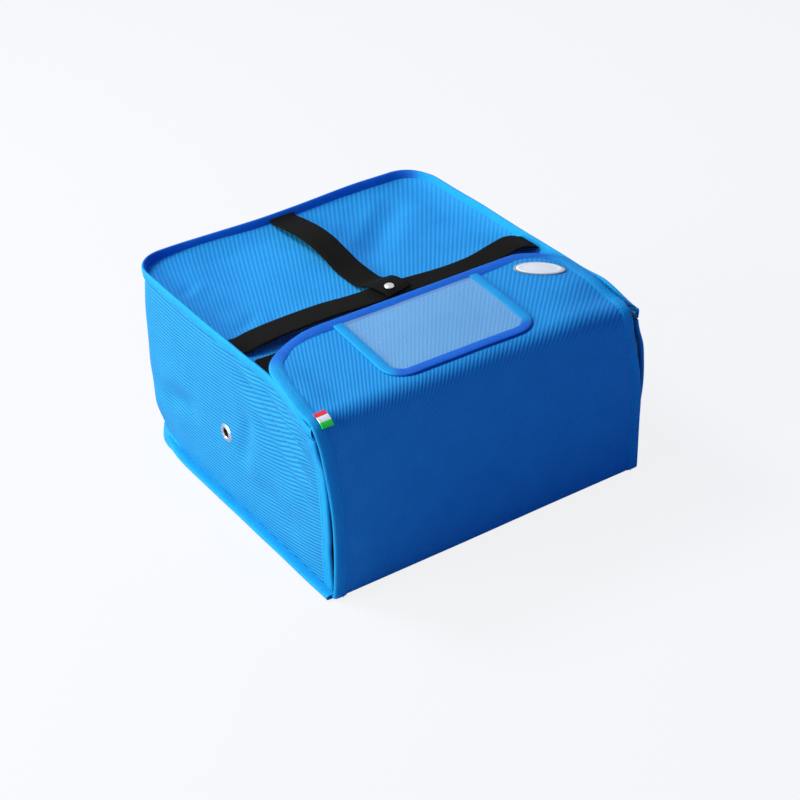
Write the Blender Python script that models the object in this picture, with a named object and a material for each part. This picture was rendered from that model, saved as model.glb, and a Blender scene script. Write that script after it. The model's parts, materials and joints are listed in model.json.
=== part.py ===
"""Insulated pizza delivery bag with a drop front, a closing lip and a carry strap.

One folded padded panel makes the base, the front and the lip. A padded wall band and a top
panel make the rest of the box. All free edges and seams are gripped in folded tape.
Metres, +Z up, the front looks to -Y, and the origin is on the floor under the bag's middle.
"""
import math

import bmesh
import bpy
from mathutils import Matrix, Vector

# Overall sizes of the bag
bag_width = 0.370
bag_depth = 0.381
top_level = 0.187
corner_radius = 0.032

# Layers of the padding
cloth_sheet = 0.0010
foam_sheet = 0.0060
lining_sheet = 0.0008
board_sheet = 0.0025
touch_gap = 0.0003

# Folded tape on seams and free edges
tape_width = 0.012
tape_sheet = 0.0009
taper_width = 0.010
foam_edge_shares = (0.25, 0.5, 1.0)
edge_round = 0.0008

# Folds of the base, front and lip panel
base_fold_radius = 0.006
lip_fold_radius = 0.018
door_clearance = 0.0015
front_straight_share = 0.82
lip_overhang = 0.0005

# Closing lip
lip_free_edge_y = -0.0410
lip_corner_radius = 0.055

# Hook and loop tapes between the lip and the top
grip_tape_width = 0.038
grip_tape_sheet = 0.0013
loop_tape_length = 0.330
hook_tape_length = 0.240
grip_tape_setback = 0.006

# Clear pocket on the lip
pocket_width = 0.170
pocket_front_y = -0.161
pocket_corner_radius = 0.026
pocket_tape_width = 0.010
pocket_tape_sheet = 0.0007
window_sheet = 0.0006

# Oval badge and striped tag
badge_length = 0.0526
badge_width = 0.0270
badge_sheet = 0.0012
badge_rim = 0.0018
badge_side_setback = 0.0397
badge_edge_setback = 0.0420
badge_turn = math.radians(-37.0)
tag_width = 0.0115
tag_length = 0.0190
tag_sheet = 0.0005

# Webbing straps
strap_width = 0.030
strap_sheet = 0.0018
strap_setback = 0.0010
handle_rise = 0.0063
handle_bow = 0.0090
rear_hump = 0.0095
handle_flat_half = 0.017
hump_share = 0.70

# Press stud
cap_radius = 0.00625
cap_height = 0.0018
socket_radius = 0.00525
socket_height = 0.0026
socket_bore_radius = 0.0031
stud_radius = 0.0048
stud_flange = 0.0006
knob_radius = 0.0025
knob_height = 0.0020
post_radius = 0.0050
post_flange = 0.0008
shank_radius = 0.0014
shank_clearance = 0.0002

# Vent eyelets in the side walls
eyelet_radius = 0.0100
eyelet_bore_radius = 0.0050
eyelet_flange = 0.0008
eyelet_barrel = 0.0007
eyelet_clearance = 0.0003
eyelet_y = 0.0020
eyelet_height = 0.0850

# Rounding of the press stud's pressed metal, as shares of its radii and heights
cap_brow_shares = (0.90, 0.60)
cap_crown_shares = (0.60, 0.92)
knob_neck_share = 0.90
knob_crown_share = 0.80
post_foot_share = 0.80
post_brow_share = 0.90

# Facets
corner_facets = 6
fold_facets = 4
round_facets = 20
cut_overrun = 0.002
sharp_angle = math.radians(40)

# Sizes that follow
fold_half_angle = math.radians(45)
root_half = math.sin(fold_half_angle)
panel_sheet = cloth_sheet + foam_sheet + lining_sheet + 2 * touch_gap
rim_stack = touch_gap / 2 + cloth_sheet + touch_gap + tape_sheet
rim_reach = (tape_width + rim_stack / 2) * root_half
rim_inner_reach = rim_stack * root_half
wall_x = bag_width / 2 - rim_reach
wall_back_y = bag_depth / 2 - rim_reach
front_y = -bag_depth / 2
pinch = tape_sheet + touch_gap
edge_stack = 2 * pinch + cloth_sheet + touch_gap + lining_sheet
base_stack = 2 * pinch + 2 * cloth_sheet + touch_gap
foam_depth = cloth_sheet + touch_gap
lining_depth = foam_depth + foam_sheet + touch_gap
base_board_depth = cloth_sheet + touch_gap
base_foam_depth = base_board_depth + board_sheet + touch_gap
base_lining_depth = base_foam_depth + foam_sheet + touch_gap
lip_under = top_level + 2 * grip_tape_sheet + 3 * touch_gap
lip_top = lip_under + panel_sheet
lip_half = wall_x + lip_overhang
lip_fold_y = front_y + lip_fold_radius
lip_fold_z = lip_top - lip_fold_radius
lip_length = lip_free_edge_y - lip_fold_y
front_height = lip_fold_z - base_fold_radius
wall_front_y = front_y + panel_sheet + door_clearance
fold_inner = lip_fold_radius - panel_sheet - door_clearance
top_edge_rise = top_level + pinch - lip_fold_z
top_front_y = lip_fold_y - math.sqrt(max(fold_inner ** 2 - top_edge_rise ** 2, 0.0))
wall_top = top_level - lining_depth
corner_y = wall_back_y - corner_radius
strap_y = lip_free_edge_y + strap_setback + strap_width / 2
strap_level = top_level + handle_rise


def clear_scene():
    for item in list(bpy.data.objects):
        bpy.data.objects.remove(item, do_unlink=True)


def finish_material(name, colour, roughness, metallic=0.0, alpha=1.0):
    material = bpy.data.materials.new(name)
    material.use_nodes = True
    shader = material.node_tree.nodes["Principled BSDF"]
    shader.inputs["Base Color"].default_value = (*colour, 1.0)
    shader.inputs["Roughness"].default_value = roughness
    shader.inputs["Metallic"].default_value = metallic
    shader.inputs["Alpha"].default_value = alpha
    return material


def add_object(name, mesh_builder, material, parent=None):
    """Close a bmesh into a named object whose origin is its parent's axis point."""
    bmesh.ops.recalc_face_normals(mesh_builder, faces=mesh_builder.faces[:])
    mesh = bpy.data.meshes.new(name)
    mesh_builder.to_mesh(mesh)
    mesh_builder.free()
    mesh.materials.append(material)
    item = bpy.data.objects.new(name, mesh)
    bpy.context.collection.objects.link(item)
    if parent is not None:
        mesh.transform(Matrix.Translation(-parent.location))
        item.parent = parent
    return item


def add_axis(name, place):
    axis = bpy.data.objects.new(name, None)
    bpy.context.collection.objects.link(axis)
    axis.location = place
    return axis


def slab(name, sites, faces, material, parent=None):
    """A sheet with thickness: each site holds its outer and its inner point."""
    build = bmesh.new()
    outer = [build.verts.new(site[0]) for site in sites]
    inner = [build.verts.new(site[1]) for site in sites]
    uses = {}
    for face in faces:
        build.faces.new([outer[k] for k in face])
        build.faces.new([inner[k] for k in reversed(face)])
        for a, b in zip(face, face[1:] + face[:1]):
            edge = (min(a, b), max(a, b))
            uses[edge] = uses.get(edge, 0) + 1
    for (a, b), count in uses.items():
        if count == 1:
            build.faces.new([outer[b], outer[a], inner[a], inner[b]])
    return add_object(name, build, material, parent)


def sweep(name, rings, material, parent=None):
    """A closed profile carried along a path: rings of equal length, with flat ends."""
    build = bmesh.new()
    loops = [[build.verts.new(point) for point in ring] for ring in rings]
    count = len(loops[0])
    for near, far in zip(loops, loops[1:]):
        for k in range(count):
            m = (k + 1) % count
            build.faces.new([near[k], near[m], far[m], far[k]])
    build.faces.new(loops[0][::-1])
    build.faces.new(loops[-1])
    return add_object(name, build, material, parent)


def turned(name, profile, material, place, parent=None, turn=Matrix()):
    """A profile of (radius, height) points turned about its own axis, closed on itself."""
    build = bmesh.new()
    on_axis = profile[0][0] == 0 and profile[-1][0] == 0
    loops = []
    for radius, height in profile:
        if radius == 0:
            loops.append([build.verts.new((0, 0, height))])
            continue
        angles = [2 * math.pi * k / round_facets for k in range(round_facets)]
        loops.append([build.verts.new((radius * math.cos(a), radius * math.sin(a), height))
                      for a in angles])
    pairs = list(zip(loops, loops[1:]))
    if not on_axis:
        pairs.append((loops[-1], loops[0]))
    for near, far in pairs:
        for k in range(round_facets):
            m = (k + 1) % round_facets
            if len(near) == 1:
                build.faces.new([near[0], far[m], far[k]])
            elif len(far) == 1:
                build.faces.new([near[k], near[m], far[0]])
            else:
                build.faces.new([near[k], near[m], far[m], far[k]])
    bmesh.ops.transform(build, matrix=Matrix.Translation(place) @ turn, verts=build.verts[:])
    item = add_object(name, build, material, parent)
    item.data.shade_smooth()
    item.data.set_sharp_from_angle(angle=sharp_angle)
    return item


def cut_round(item, centre, radius, length, turn=Matrix()):
    """Cut a round hole through an item with a hidden guide."""
    build = bmesh.new()
    bmesh.ops.create_cone(build, cap_ends=True, segments=round_facets, radius1=radius,
                          radius2=radius, depth=length,
                          matrix=Matrix.Translation(centre) @ turn)
    guide = add_object(item.name + "_hole_guide", build, item.data.materials[0])
    guide.hide_render = True
    guide.hide_set(True)
    guide.display_type = 'WIRE'
    cut = item.modifiers.new("hole", 'BOOLEAN')
    cut.operation = 'DIFFERENCE'
    cut.solver = 'EXACT'
    cut.object = guide


def half_fold_angles(radius):
    """Angles from a fold's middle plane to its flat end, a half gap off the middle."""
    start = fold_half_angle - math.asin(touch_gap / 2 / radius)
    return [start * (1 - k / fold_facets) for k in range(fold_facets + 1)]


def base_point(x, run, depth):
    """A point of the base: run is along +Y from the front fold's flat end."""
    centre_y = front_y + base_fold_radius
    if run >= 0:
        return Vector((x, centre_y + run, depth))
    angle = -run
    reach = base_fold_radius - depth
    return Vector((x, centre_y - reach * math.sin(angle), base_fold_radius - reach * math.cos(angle)))


def front_point(x, low_angle, run, high_angle, depth):
    """A point of the front: run is the height above the base fold's flat end."""
    low_reach = base_fold_radius - depth
    high_reach = lip_fold_radius - depth
    if low_angle > 0:
        return Vector((x, front_y + base_fold_radius - low_reach * math.cos(low_angle),
                       base_fold_radius - low_reach * math.sin(low_angle)))
    if high_angle > 0:
        return Vector((x, lip_fold_y - high_reach * math.cos(high_angle),
                       lip_fold_z + high_reach * math.sin(high_angle)))
    return Vector((x, front_y + depth, base_fold_radius + run))


def lip_point(x, run, depth):
    """A point of the lip: run is along +Y from its fold, or minus the fold's angle."""
    if run >= 0:
        return Vector((x, lip_fold_y + run, lip_top - depth))
    angle = -run
    reach = lip_fold_radius - depth
    return Vector((x, lip_fold_y - reach * math.sin(angle), lip_fold_z + reach * math.cos(angle)))


def round_end_path(half, end, radius, facets=corner_facets):
    """A U on a plane: up the left edge, round two corners and down the right edge."""
    points = [(-half, 0.0)]
    for side, first in ((-1, 180), (1, 90)):
        for k in range(facets + 1):
            angle = math.radians(first - 90 * k / facets)
            points.append((side * (half - radius) + radius * math.cos(angle),
                           end - radius + radius * math.sin(angle)))
    points.append((half, 0.0))
    return points


def tongue(name, half, end, radius, lines, fold_angles, place, material, parent=None,
           facets=corner_facets):
    """A panel with a folded root and a rounded end.

    Each line holds (inset, outer depth, inner inset, inner depth), from the edge inwards.
    """
    sites = []
    rings = []
    for inset, depth, inner_inset, inner_depth in lines:
        outer = round_end_path(half - inset, end - inset, radius - inset, facets)
        inner = round_end_path(half - inner_inset, end - inner_inset, radius - inner_inset, facets)
        rings.append(range(len(sites), len(sites) + len(outer)))
        for a, b in zip(outer, inner):
            sites.append((place(a[0], a[1], depth), place(b[0], b[1], inner_depth)))
    faces = []
    for near, far in zip(rings, rings[1:]):
        for k in range(len(near) - 1):
            faces.append([near[k], far[k], far[k + 1], near[k + 1]])
    faces.append(list(rings[-1])[::-1])
    row = [ring[0] for ring in rings] + [ring[-1] for ring in reversed(rings)]
    for angle in reversed(fold_angles[:-1]):
        fresh = []
        for side, order in ((-1, lines), (1, lines[::-1])):
            for inset, depth, inner_inset, inner_depth in order:
                fresh.append(len(sites))
                sites.append((place(side * (half - inset), -angle, depth),
                              place(side * (half - inner_inset), -angle, inner_depth)))
        for k in range(len(row) - 1):
            faces.append([row[k], row[k + 1], fresh[k + 1], fresh[k]])
        row = fresh
    return slab(name, sites, faces, material, parent)


def tongue_binding(name, half, end, radius, profile, fold_angles, place, material, parent=None):
    """Folded tape round a tongue's edge, from its fold round to its fold."""
    rings = []
    for angle in fold_angles[:-1]:
        rings.append([place(-(half - inset), -angle, depth) for inset, depth in profile])
    paths = [round_end_path(half - inset, end - inset, radius - inset) for inset, _ in profile]
    for k in range(len(paths[0])):
        rings.append([place(path[k][0], path[k][1], depth)
                      for path, (_, depth) in zip(paths, profile)])
    for angle in fold_angles[-2::-1]:
        rings.append([place(half - inset, -angle, depth) for inset, depth in profile])
    return sweep(name, rings, material, parent)


def tape_profile(width, sheet, stack, far_width=None):
    """Section of tape folded round an edge, as (inset from the crest, depth)."""
    far = far_width or width
    return [(0.0, edge_round), (edge_round, 0.0), (width, 0.0), (width, sheet),
            (sheet, sheet), (sheet, stack - sheet), (far, stack - sheet), (far, stack),
            (edge_round, stack), (0.0, stack - edge_round)]


def pinched_lines(start_depth, full_depth, sheet, first_inset):
    """Lines of a layer that is drawn together at its bound edge."""
    lines = []
    for inset in (first_inset, tape_width, tape_width + taper_width / 2, tape_width + taper_width):
        if inset < first_inset:
            continue
        share = min(max((inset - tape_width) / taper_width, 0.0), 1.0)
        depth = start_depth + (full_depth - start_depth) * share
        lines.append((inset, depth, inset, depth + sheet))
    return lines


def foam_lines():
    """Lines of the foam, which ends where the cloth and lining come together."""
    lines = []
    for share in foam_edge_shares:
        inset = tape_width + taper_width * share
        outer = pinch * (1 - share) + cloth_sheet + touch_gap
        lining_start = pinch + cloth_sheet + touch_gap
        inner = lining_start + (lining_depth - lining_start) * share - touch_gap
        lines.append((inset, outer, inset, inner))
    return lines


def cloth_lines():
    return pinched_lines(pinch, 0.0, cloth_sheet, tape_sheet + touch_gap)


def lining_lines():
    return pinched_lines(pinch + cloth_sheet + touch_gap, lining_depth, lining_sheet,
                         tape_sheet + touch_gap)


def front_half(height):
    """Half width of the front, which draws in to the lip's width below the fold."""
    start = front_height * front_straight_share
    share = min(max((height - start) / (lip_fold_z - start), 0.0), 1.0)
    return bag_width / 2 + (lip_half - bag_width / 2) * smooth_share(share)


def front_rows(depth, mitred):
    """Stations up the front at one depth, from the base fold to the lip fold."""
    rows = []
    if mitred:
        rows.append((0.0, max(depth + touch_gap * root_half - base_fold_radius, 0.0), 0.0))
    else:
        for angle in half_fold_angles(base_fold_radius - base_stack)[:-1]:
            rows.append((angle, 0.0, 0.0))
        rows.append((0.0, 0.0, 0.0))
    for k in range(fold_facets + 1):
        share = front_straight_share + (1 - front_straight_share) * k / fold_facets
        rows.append((0.0, front_height * share, 0.0))
    for angle in half_fold_angles(lip_fold_radius - panel_sheet)[-2::-1]:
        rows.append((0.0, 0.0, angle))
    return rows


def front_site(side, inset, row, depth):
    low, run, high = row
    height = base_fold_radius + run if low == 0 and high == 0 else (0.0 if low else lip_fold_z)
    return front_point(side * (front_half(height) - inset), low, run, high, depth)


def front_layer(name, lines, material, parent, mitre_outer, mitre_inner):
    """One layer of the front panel."""
    columns = [(-1, line) for line in lines] + [(1, line) for line in reversed(lines)]
    sites = []
    for side, (inset, depth, inner_inset, inner_depth) in columns:
        outer_rows = front_rows(depth, mitre_outer)
        inner_rows = front_rows(inner_depth, mitre_inner)
        for a, b in zip(outer_rows, inner_rows):
            sites.append((front_site(side, inset, a, depth),
                          front_site(side, inner_inset, b, inner_depth)))
    count = len(sites) // len(columns)
    faces = []
    for c in range(len(columns) - 1):
        for r in range(count - 1):
            k = c * count + r
            faces.append([k, k + count, k + count + 1, k + 1])
    return slab(name, sites, faces, material, parent)


def rear_path(reach, start_y):
    """Round the box: up the left side, round the rear corners and back down the right."""
    half = wall_x + reach
    end = wall_back_y + reach
    points = round_end_path(half, end - start_y, corner_radius + reach)
    return [(x, y + start_y) for x, y in points]


def wall_solid(name, part, profile, material, start_y):
    """A profile of (reach, height) points along one part of the rear path."""
    paths = [rear_path(reach, start_y) for reach, _ in profile]
    count = len(paths[0])
    spans = {"left": (0, 1), "back": (1, count - 2), "right": (count - 2, count - 1),
             "all": (0, count - 1)}
    first, last = spans[part]
    rings = []
    for k in range(first, last + 1):
        ring = [Vector((path[k][0], path[k][1], height))
                for path, (_, height) in zip(paths, profile)]
        if part in ("left", "right") and k in (1, count - 2):
            for point in ring:
                point.y -= touch_gap
        rings.append(ring)
    return sweep(name, rings, material)


def rim_point(along, across):
    """A point of the top seam, in (reach, height): along its fin and across it."""
    return ((along - across) * root_half, top_level + (along + across) * root_half)


def wall_cloth_profile():
    """Section of the wall cloth, with its seam edges turned out below and above."""
    half_gap = touch_gap / 2
    tip = tape_width - tape_sheet - touch_gap
    foot = rim_reach - tape_sheet - touch_gap
    low = pinch + cloth_sheet + touch_gap
    inner_bend = (cloth_sheet + half_gap * (root_half * 2)) / root_half
    outer_turn = rim_point(-(half_gap + cloth_sheet), -(half_gap + cloth_sheet))
    inner_turn = rim_point(half_gap - inner_bend, -half_gap)
    return [(foot, low), (foot, low + cloth_sheet), (0.0, low + cloth_sheet),
            (0.0, outer_turn[1]), rim_point(tip, -(half_gap + cloth_sheet)),
            rim_point(tip, -half_gap), (-cloth_sheet, inner_turn[1]), (-cloth_sheet, low)]


def add_walls(materials):
    """The wall band: two sides and a back that takes in the rounded corners."""
    for part in ("left", "back", "right"):
        cloth = wall_solid(part + "_wall_cloth", part, wall_cloth_profile(), materials["cloth"],
                           wall_front_y + pinch)
        if part == "back":
            for name, outer, inner in (("foam", foam_depth, foam_depth + foam_sheet),
                                       ("lining", lining_depth, panel_sheet)):
                profile = [(-outer, base_lining_depth), (-outer, wall_top),
                           (-inner, wall_top), (-inner, base_lining_depth)]
                wall_solid("back_wall_" + name, part, profile, materials[name], wall_front_y)
            continue
        side = -1 if part == "left" else 1
        layers = [cloth]
        for name, stations in side_layers().items():
            rings = [[(side * (wall_x - depth), y, height)
                      for depth, height in ((outer, base_lining_depth), (outer, wall_top),
                                            (inner, wall_top), (inner, base_lining_depth))]
                     for y, outer, inner in stations]
            layers.append(sweep(part + "_wall_" + name, rings, materials[name]))
        add_eyelet(part, side, layers, materials["steel"])
        add_wall_edge_tape(part, side, materials["tape"])


def side_layers():
    """Foam and lining of a side wall, as (y, outer depth, inner depth) towards the back."""
    edge = wall_front_y + tape_width
    end = corner_y - touch_gap
    foam = []
    for share in (foam_edge_shares[0], foam_edge_shares[-1]):
        inner = foam_depth + (lining_depth - foam_depth) * share - touch_gap
        foam.append((edge + taper_width * share, foam_depth, inner))
    foam.append((end, foam_depth, foam_depth + foam_sheet))
    lining = [(wall_front_y + pinch, foam_depth, foam_depth + lining_sheet),
              (edge, foam_depth, foam_depth + lining_sheet),
              (edge + taper_width, lining_depth, panel_sheet), (end, lining_depth, panel_sheet)]
    return {"foam": foam, "lining": lining}


def add_wall_edge_tape(part, side, material):
    """Upright tape on a side wall's free front edge."""
    stack = edge_stack
    low = base_lining_depth
    high = rim_point(0.0, -rim_stack)[1] - touch_gap
    rings = []
    for height in (low, high):
        rings.append([(side * (wall_x + pinch - depth), wall_front_y + inset, height)
                      for inset, depth in tape_profile(tape_width, tape_sheet, stack)])
    sweep(part + "_wall_binding", rings, material)


def add_eyelet(part, side, layers, material):
    """A vent eyelet through a side wall: a flanged barrel outside and a washer inside."""
    turn = Matrix.Rotation(math.radians(90) * side, 4, 'Y')
    outer_radius = eyelet_bore_radius + eyelet_barrel
    hole_radius = outer_radius + eyelet_clearance
    middle = Vector((side * wall_x, eyelet_y, eyelet_height))
    for layer in layers:
        cut_round(layer, middle, hole_radius, 2 * panel_sheet + cut_overrun, turn)
    flange_low = touch_gap
    flange_high = touch_gap + eyelet_flange
    barrel_end = -panel_sheet - touch_gap - eyelet_flange
    turned(part + "_eyelet",
           [(eyelet_bore_radius, barrel_end), (outer_radius, barrel_end),
            (outer_radius, flange_low), (eyelet_radius, flange_low),
            (eyelet_radius, flange_low + eyelet_flange / 2),
            (eyelet_radius - eyelet_flange, flange_high),
            (eyelet_bore_radius + eyelet_flange, flange_high),
            (eyelet_bore_radius, flange_low + eyelet_flange / 2)],
           material, middle, turn=turn)
    washer_high = -panel_sheet - touch_gap
    washer_low = washer_high - eyelet_flange
    turned(part + "_eyelet_washer",
           [(hole_radius, washer_low), (eyelet_radius, washer_low), (eyelet_radius, washer_high),
            (hole_radius, washer_high)],
           material, middle, turn=turn)


def add_top(materials):
    """The top panel, seamed to the walls on three sides and free at its front edge."""
    half_gap = touch_gap / 2
    tip = tape_width - tape_sheet - touch_gap
    upper_tip = rim_point(tip, half_gap + cloth_sheet)
    lower_tip = rim_point(tip, half_gap)
    upper_turn = rim_point(-(half_gap + cloth_sheet), half_gap + cloth_sheet)
    inner_bend = (cloth_sheet + half_gap * (root_half * 2)) / root_half
    lower_turn = rim_point(half_gap - inner_bend, half_gap)
    start = top_front_y + tape_sheet + touch_gap
    lines = [(-upper_tip[0], top_level - upper_tip[1], -lower_tip[0], top_level - lower_tip[1]),
             (-upper_turn[0], 0.0, -lower_turn[0], cloth_sheet)]

    def place(x, run, depth):
        return Vector((x, start + run, top_level - depth))

    tongue("top_cloth", wall_x, wall_back_y - start, corner_radius, lines, [0.0], place,
           materials["cloth"])
    edge = top_front_y + tape_width
    full = edge + taper_width
    share = foam_edge_shares[0]
    thin = (lining_depth - foam_depth) * share - touch_gap

    def full_place(x, run, depth):
        return Vector((x, full + run, top_level - depth))

    foam = tongue("top_foam", wall_x, wall_back_y - full, corner_radius,
                  [(foam_depth, foam_depth, foam_depth, foam_depth + foam_sheet)], [0.0],
                  full_place, materials["foam"])
    draw_front(foam, full, [(edge + taper_width * share, foam_depth, foam_depth + thin)])
    inset = panel_sheet + touch_gap
    lining = tongue("top_lining", wall_x, wall_back_y - full, corner_radius,
                    [(inset, lining_depth, inset, panel_sheet)], [0.0], full_place,
                    materials["lining"])
    drawn = foam_depth + lining_sheet
    draw_front(lining, full, [(edge, foam_depth, drawn), (start, foam_depth, drawn)])
    rings = []
    for x in (-(wall_x - touch_gap - inset), wall_x - touch_gap - inset):
        rings.append([(x, top_front_y + inset_y, top_level + pinch - depth)
                      for inset_y, depth in tape_profile(tape_width, tape_sheet, edge_stack)])
    sweep("top_edge_binding", rings, materials["tape"])


def draw_front(sheet, front, stations):
    """Extrude a top layer's front face through stations of (y, upper depth, lower depth)."""
    build = bmesh.new()
    build.from_mesh(sheet.data)
    faces = [face for face in build.faces
             if all(abs(vert.co.y - front) < touch_gap for vert in face.verts)]
    for y, upper, lower in stations:
        faces = bmesh.ops.extrude_discrete_faces(build, faces=faces)["faces"]
        verts = {vert for face in faces for vert in face.verts}
        middle = sum(vert.co.z for vert in verts) / len(verts)
        for vert in verts:
            vert.co.z = top_level - (upper if vert.co.z > middle else lower)
            vert.co.y = y
    bmesh.ops.recalc_face_normals(build, faces=build.faces[:])
    build.to_mesh(sheet.data)
    build.free()


def add_rim_tape(material):
    """Tape on the seam between the walls and the top, standing up and out at 45 degrees."""
    section = [(tape_width - inset, rim_stack - depth)
               for inset, depth in tape_profile(tape_width, tape_sheet, 2 * rim_stack)]
    half = rim_stack / 2
    section[0] = (tape_width, half)
    section[1] = (tape_width - half, rim_stack)
    section[8] = (tape_width - half, -rim_stack)
    section[9] = (tape_width, -half)
    profile = [rim_point(along, across) for along, across in section]
    wall_solid("top_binding", "all", profile, material, wall_front_y)


def add_base(materials):
    """The base: cloth that runs on into the front, a stiff board, foam and lining."""
    start = front_y + base_fold_radius
    length = wall_back_y + rim_reach - start
    half = bag_width / 2
    radius = corner_radius + rim_reach
    angles = half_fold_angles(base_fold_radius - base_stack)
    edge = tape_sheet + touch_gap
    step_out = rim_reach + foam_depth + taper_width / 4
    step_in = step_out + taper_width / 4
    lines = [(edge, pinch, edge, pinch + cloth_sheet),
             (step_out, pinch, step_out, pinch + cloth_sheet),
             (step_in, 0.0, step_in, cloth_sheet)]
    tongue("base_cloth", half, length, radius, lines, angles, base_point, materials["cloth"])
    profile = tape_profile(tape_width, tape_sheet, base_stack, rim_reach - touch_gap)
    tongue_binding("base_binding", half, length, radius, profile, angles, base_point,
                   materials["tape"])
    board_inset = step_in + touch_gap
    tongue("base_board", half, length, radius,
           [(board_inset, base_board_depth, board_inset, base_board_depth + board_sheet)], [0.0],
           base_point, materials["board"])
    add_mitred_sheet("base_foam", base_foam_depth, foam_sheet, rim_reach + foam_depth,
                     materials["foam"])
    add_mitred_sheet("base_lining", base_lining_depth, lining_sheet,
                     rim_reach + panel_sheet + touch_gap, materials["lining"])


def add_mitred_sheet(name, depth, sheet, inset, material):
    """A flat base layer whose front end meets the front panel on the fold's middle plane."""
    half = bag_width / 2 - inset
    end = bag_depth / 2 - inset
    low = depth + touch_gap * root_half
    high = low + sheet
    radius = corner_radius + rim_reach - inset

    def place(x, run, level):
        slope = low if level == depth else high
        return Vector((x, front_y + slope + run, level))

    sites = []
    upper = round_end_path(half, end - front_y - low, radius)
    lower = round_end_path(half, end - front_y - high, radius)
    for a, b in zip(upper, lower):
        sites.append((place(a[0], a[1], depth), place(b[0], b[1], depth + sheet)))
    slab(name, sites, [list(range(len(sites)))[::-1]], material)


def add_front(materials, axis):
    """The drop front: cloth, foam and lining, bound along both sides."""
    front_layer("front_cloth", cloth_lines(), materials["cloth"], axis, False, False)
    front_layer("front_lining", lining_lines(), materials["lining"], axis, True, True)
    add_front_foam(materials["foam"], axis)
    for part, side in (("left", -1), ("right", 1)):
        profile = tape_profile(tape_width, tape_sheet, edge_stack)
        rows = front_rows(edge_stack, False)
        rings = [[front_site(side, inset, row, depth) for inset, depth in profile] for row in rows]
        sweep(part + "_front_binding", rings, materials["tape"], axis)


def add_front_foam(material, axis):
    """Foam of the front, mitred to the base foam and chamfered inside the cloth's fold."""
    lines = foam_lines()
    columns = [(-1, line) for line in lines] + [(1, line) for line in reversed(lines)]
    sites = []
    for side, (inset, depth, inner_inset, inner_depth) in columns:
        inner_rows = front_rows(inner_depth, True)
        first = half_fold_angles(base_fold_radius - foam_depth)[0]
        outer_rows = [(first, 0.0, 0.0)] + front_rows(depth, True)[1:]
        outer_rows.insert(1, (0.0, 0.0, 0.0))
        step = max(inner_rows[0][1], 0.0) + cut_overrun
        inner_rows.insert(1, (0.0, step, 0.0))
        for a, b in zip(outer_rows, inner_rows):
            sites.append((front_site(side, inset, a, depth),
                          front_site(side, inner_inset, b, inner_depth)))
    count = len(sites) // len(columns)
    faces = []
    for c in range(len(columns) - 1):
        for r in range(count - 1):
            k = c * count + r
            faces.append([k, k + count, k + count + 1, k + 1])
    slab("front_foam", sites, faces, material, axis)


def add_lip(materials, axis):
    """The lip that closes over the top, with its bound edge and the hook tape under it."""
    angles = half_fold_angles(lip_fold_radius - panel_sheet)
    sizes = (lip_half, lip_length, lip_corner_radius)
    tongue("lip_cloth", *sizes, cloth_lines(), angles, lip_point, materials["cloth"], axis)
    tongue("lip_foam", *sizes, foam_lines(), angles, lip_point, materials["foam"], axis)
    tongue("lip_lining", *sizes, lining_lines(), angles, lip_point, materials["lining"], axis)
    profile = tape_profile(tape_width, tape_sheet, edge_stack)
    tongue_binding("lip_binding", *sizes, profile, angles, lip_point, materials["tape"], axis)


def add_plate(name, low, high, material, parent=None):
    """A flat rectangular tape between two corners."""
    rings = []
    for x in (low[0], high[0]):
        rings.append([(x, low[1], low[2]), (x, high[1], low[2]), (x, high[1], high[2]),
                      (x, low[1], high[2])])
    return sweep(name, rings, material, parent)


def add_grip_tapes(materials, axis):
    """The loop tape sewn on the top and the hook tape sewn under the lip."""
    back = lip_free_edge_y - tape_width - taper_width / 2 + grip_tape_setback
    front = back - grip_tape_width
    low = top_level + touch_gap
    add_plate("loop_tape", (-loop_tape_length / 2, front, low),
              (loop_tape_length / 2, back, low + grip_tape_sheet), materials["grip"])
    low = low + grip_tape_sheet + touch_gap
    hook_back = lip_free_edge_y - tape_width - taper_width
    add_plate("hook_tape", (-hook_tape_length / 2, hook_back - grip_tape_width, low),
              (hook_tape_length / 2, hook_back, low + grip_tape_sheet), materials["grip"], axis)


def add_pocket(materials, axis):
    """The clear document pocket: a window held in folded tape on three sides."""
    level = lip_top + touch_gap
    mouth_y = lip_free_edge_y - tape_width - touch_gap
    half = pocket_width / 2
    length = mouth_y - pocket_front_y
    stack = 2 * pocket_tape_sheet + 2 * touch_gap + window_sheet
    inset = pocket_tape_sheet + touch_gap

    def place(x, run, depth):
        return Vector((x, mouth_y - run, level + stack - depth))

    window_depth = pocket_tape_sheet + touch_gap
    tongue("pocket_window", half, length, pocket_corner_radius,
           [(inset, window_depth, inset, window_depth + window_sheet)], [0.0], place,
           materials["window"], axis)
    profile = tape_profile(pocket_tape_width, pocket_tape_sheet, stack)
    paths = [round_end_path(half - d, length - d, pocket_corner_radius - d) for d, _ in profile]
    rings = [[place(path[k][0], path[k][1], depth) for path, (_, depth) in zip(paths, profile)]
             for k in range(len(paths[0]))]
    sweep("pocket_binding", rings, materials["tape"], axis)


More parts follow.
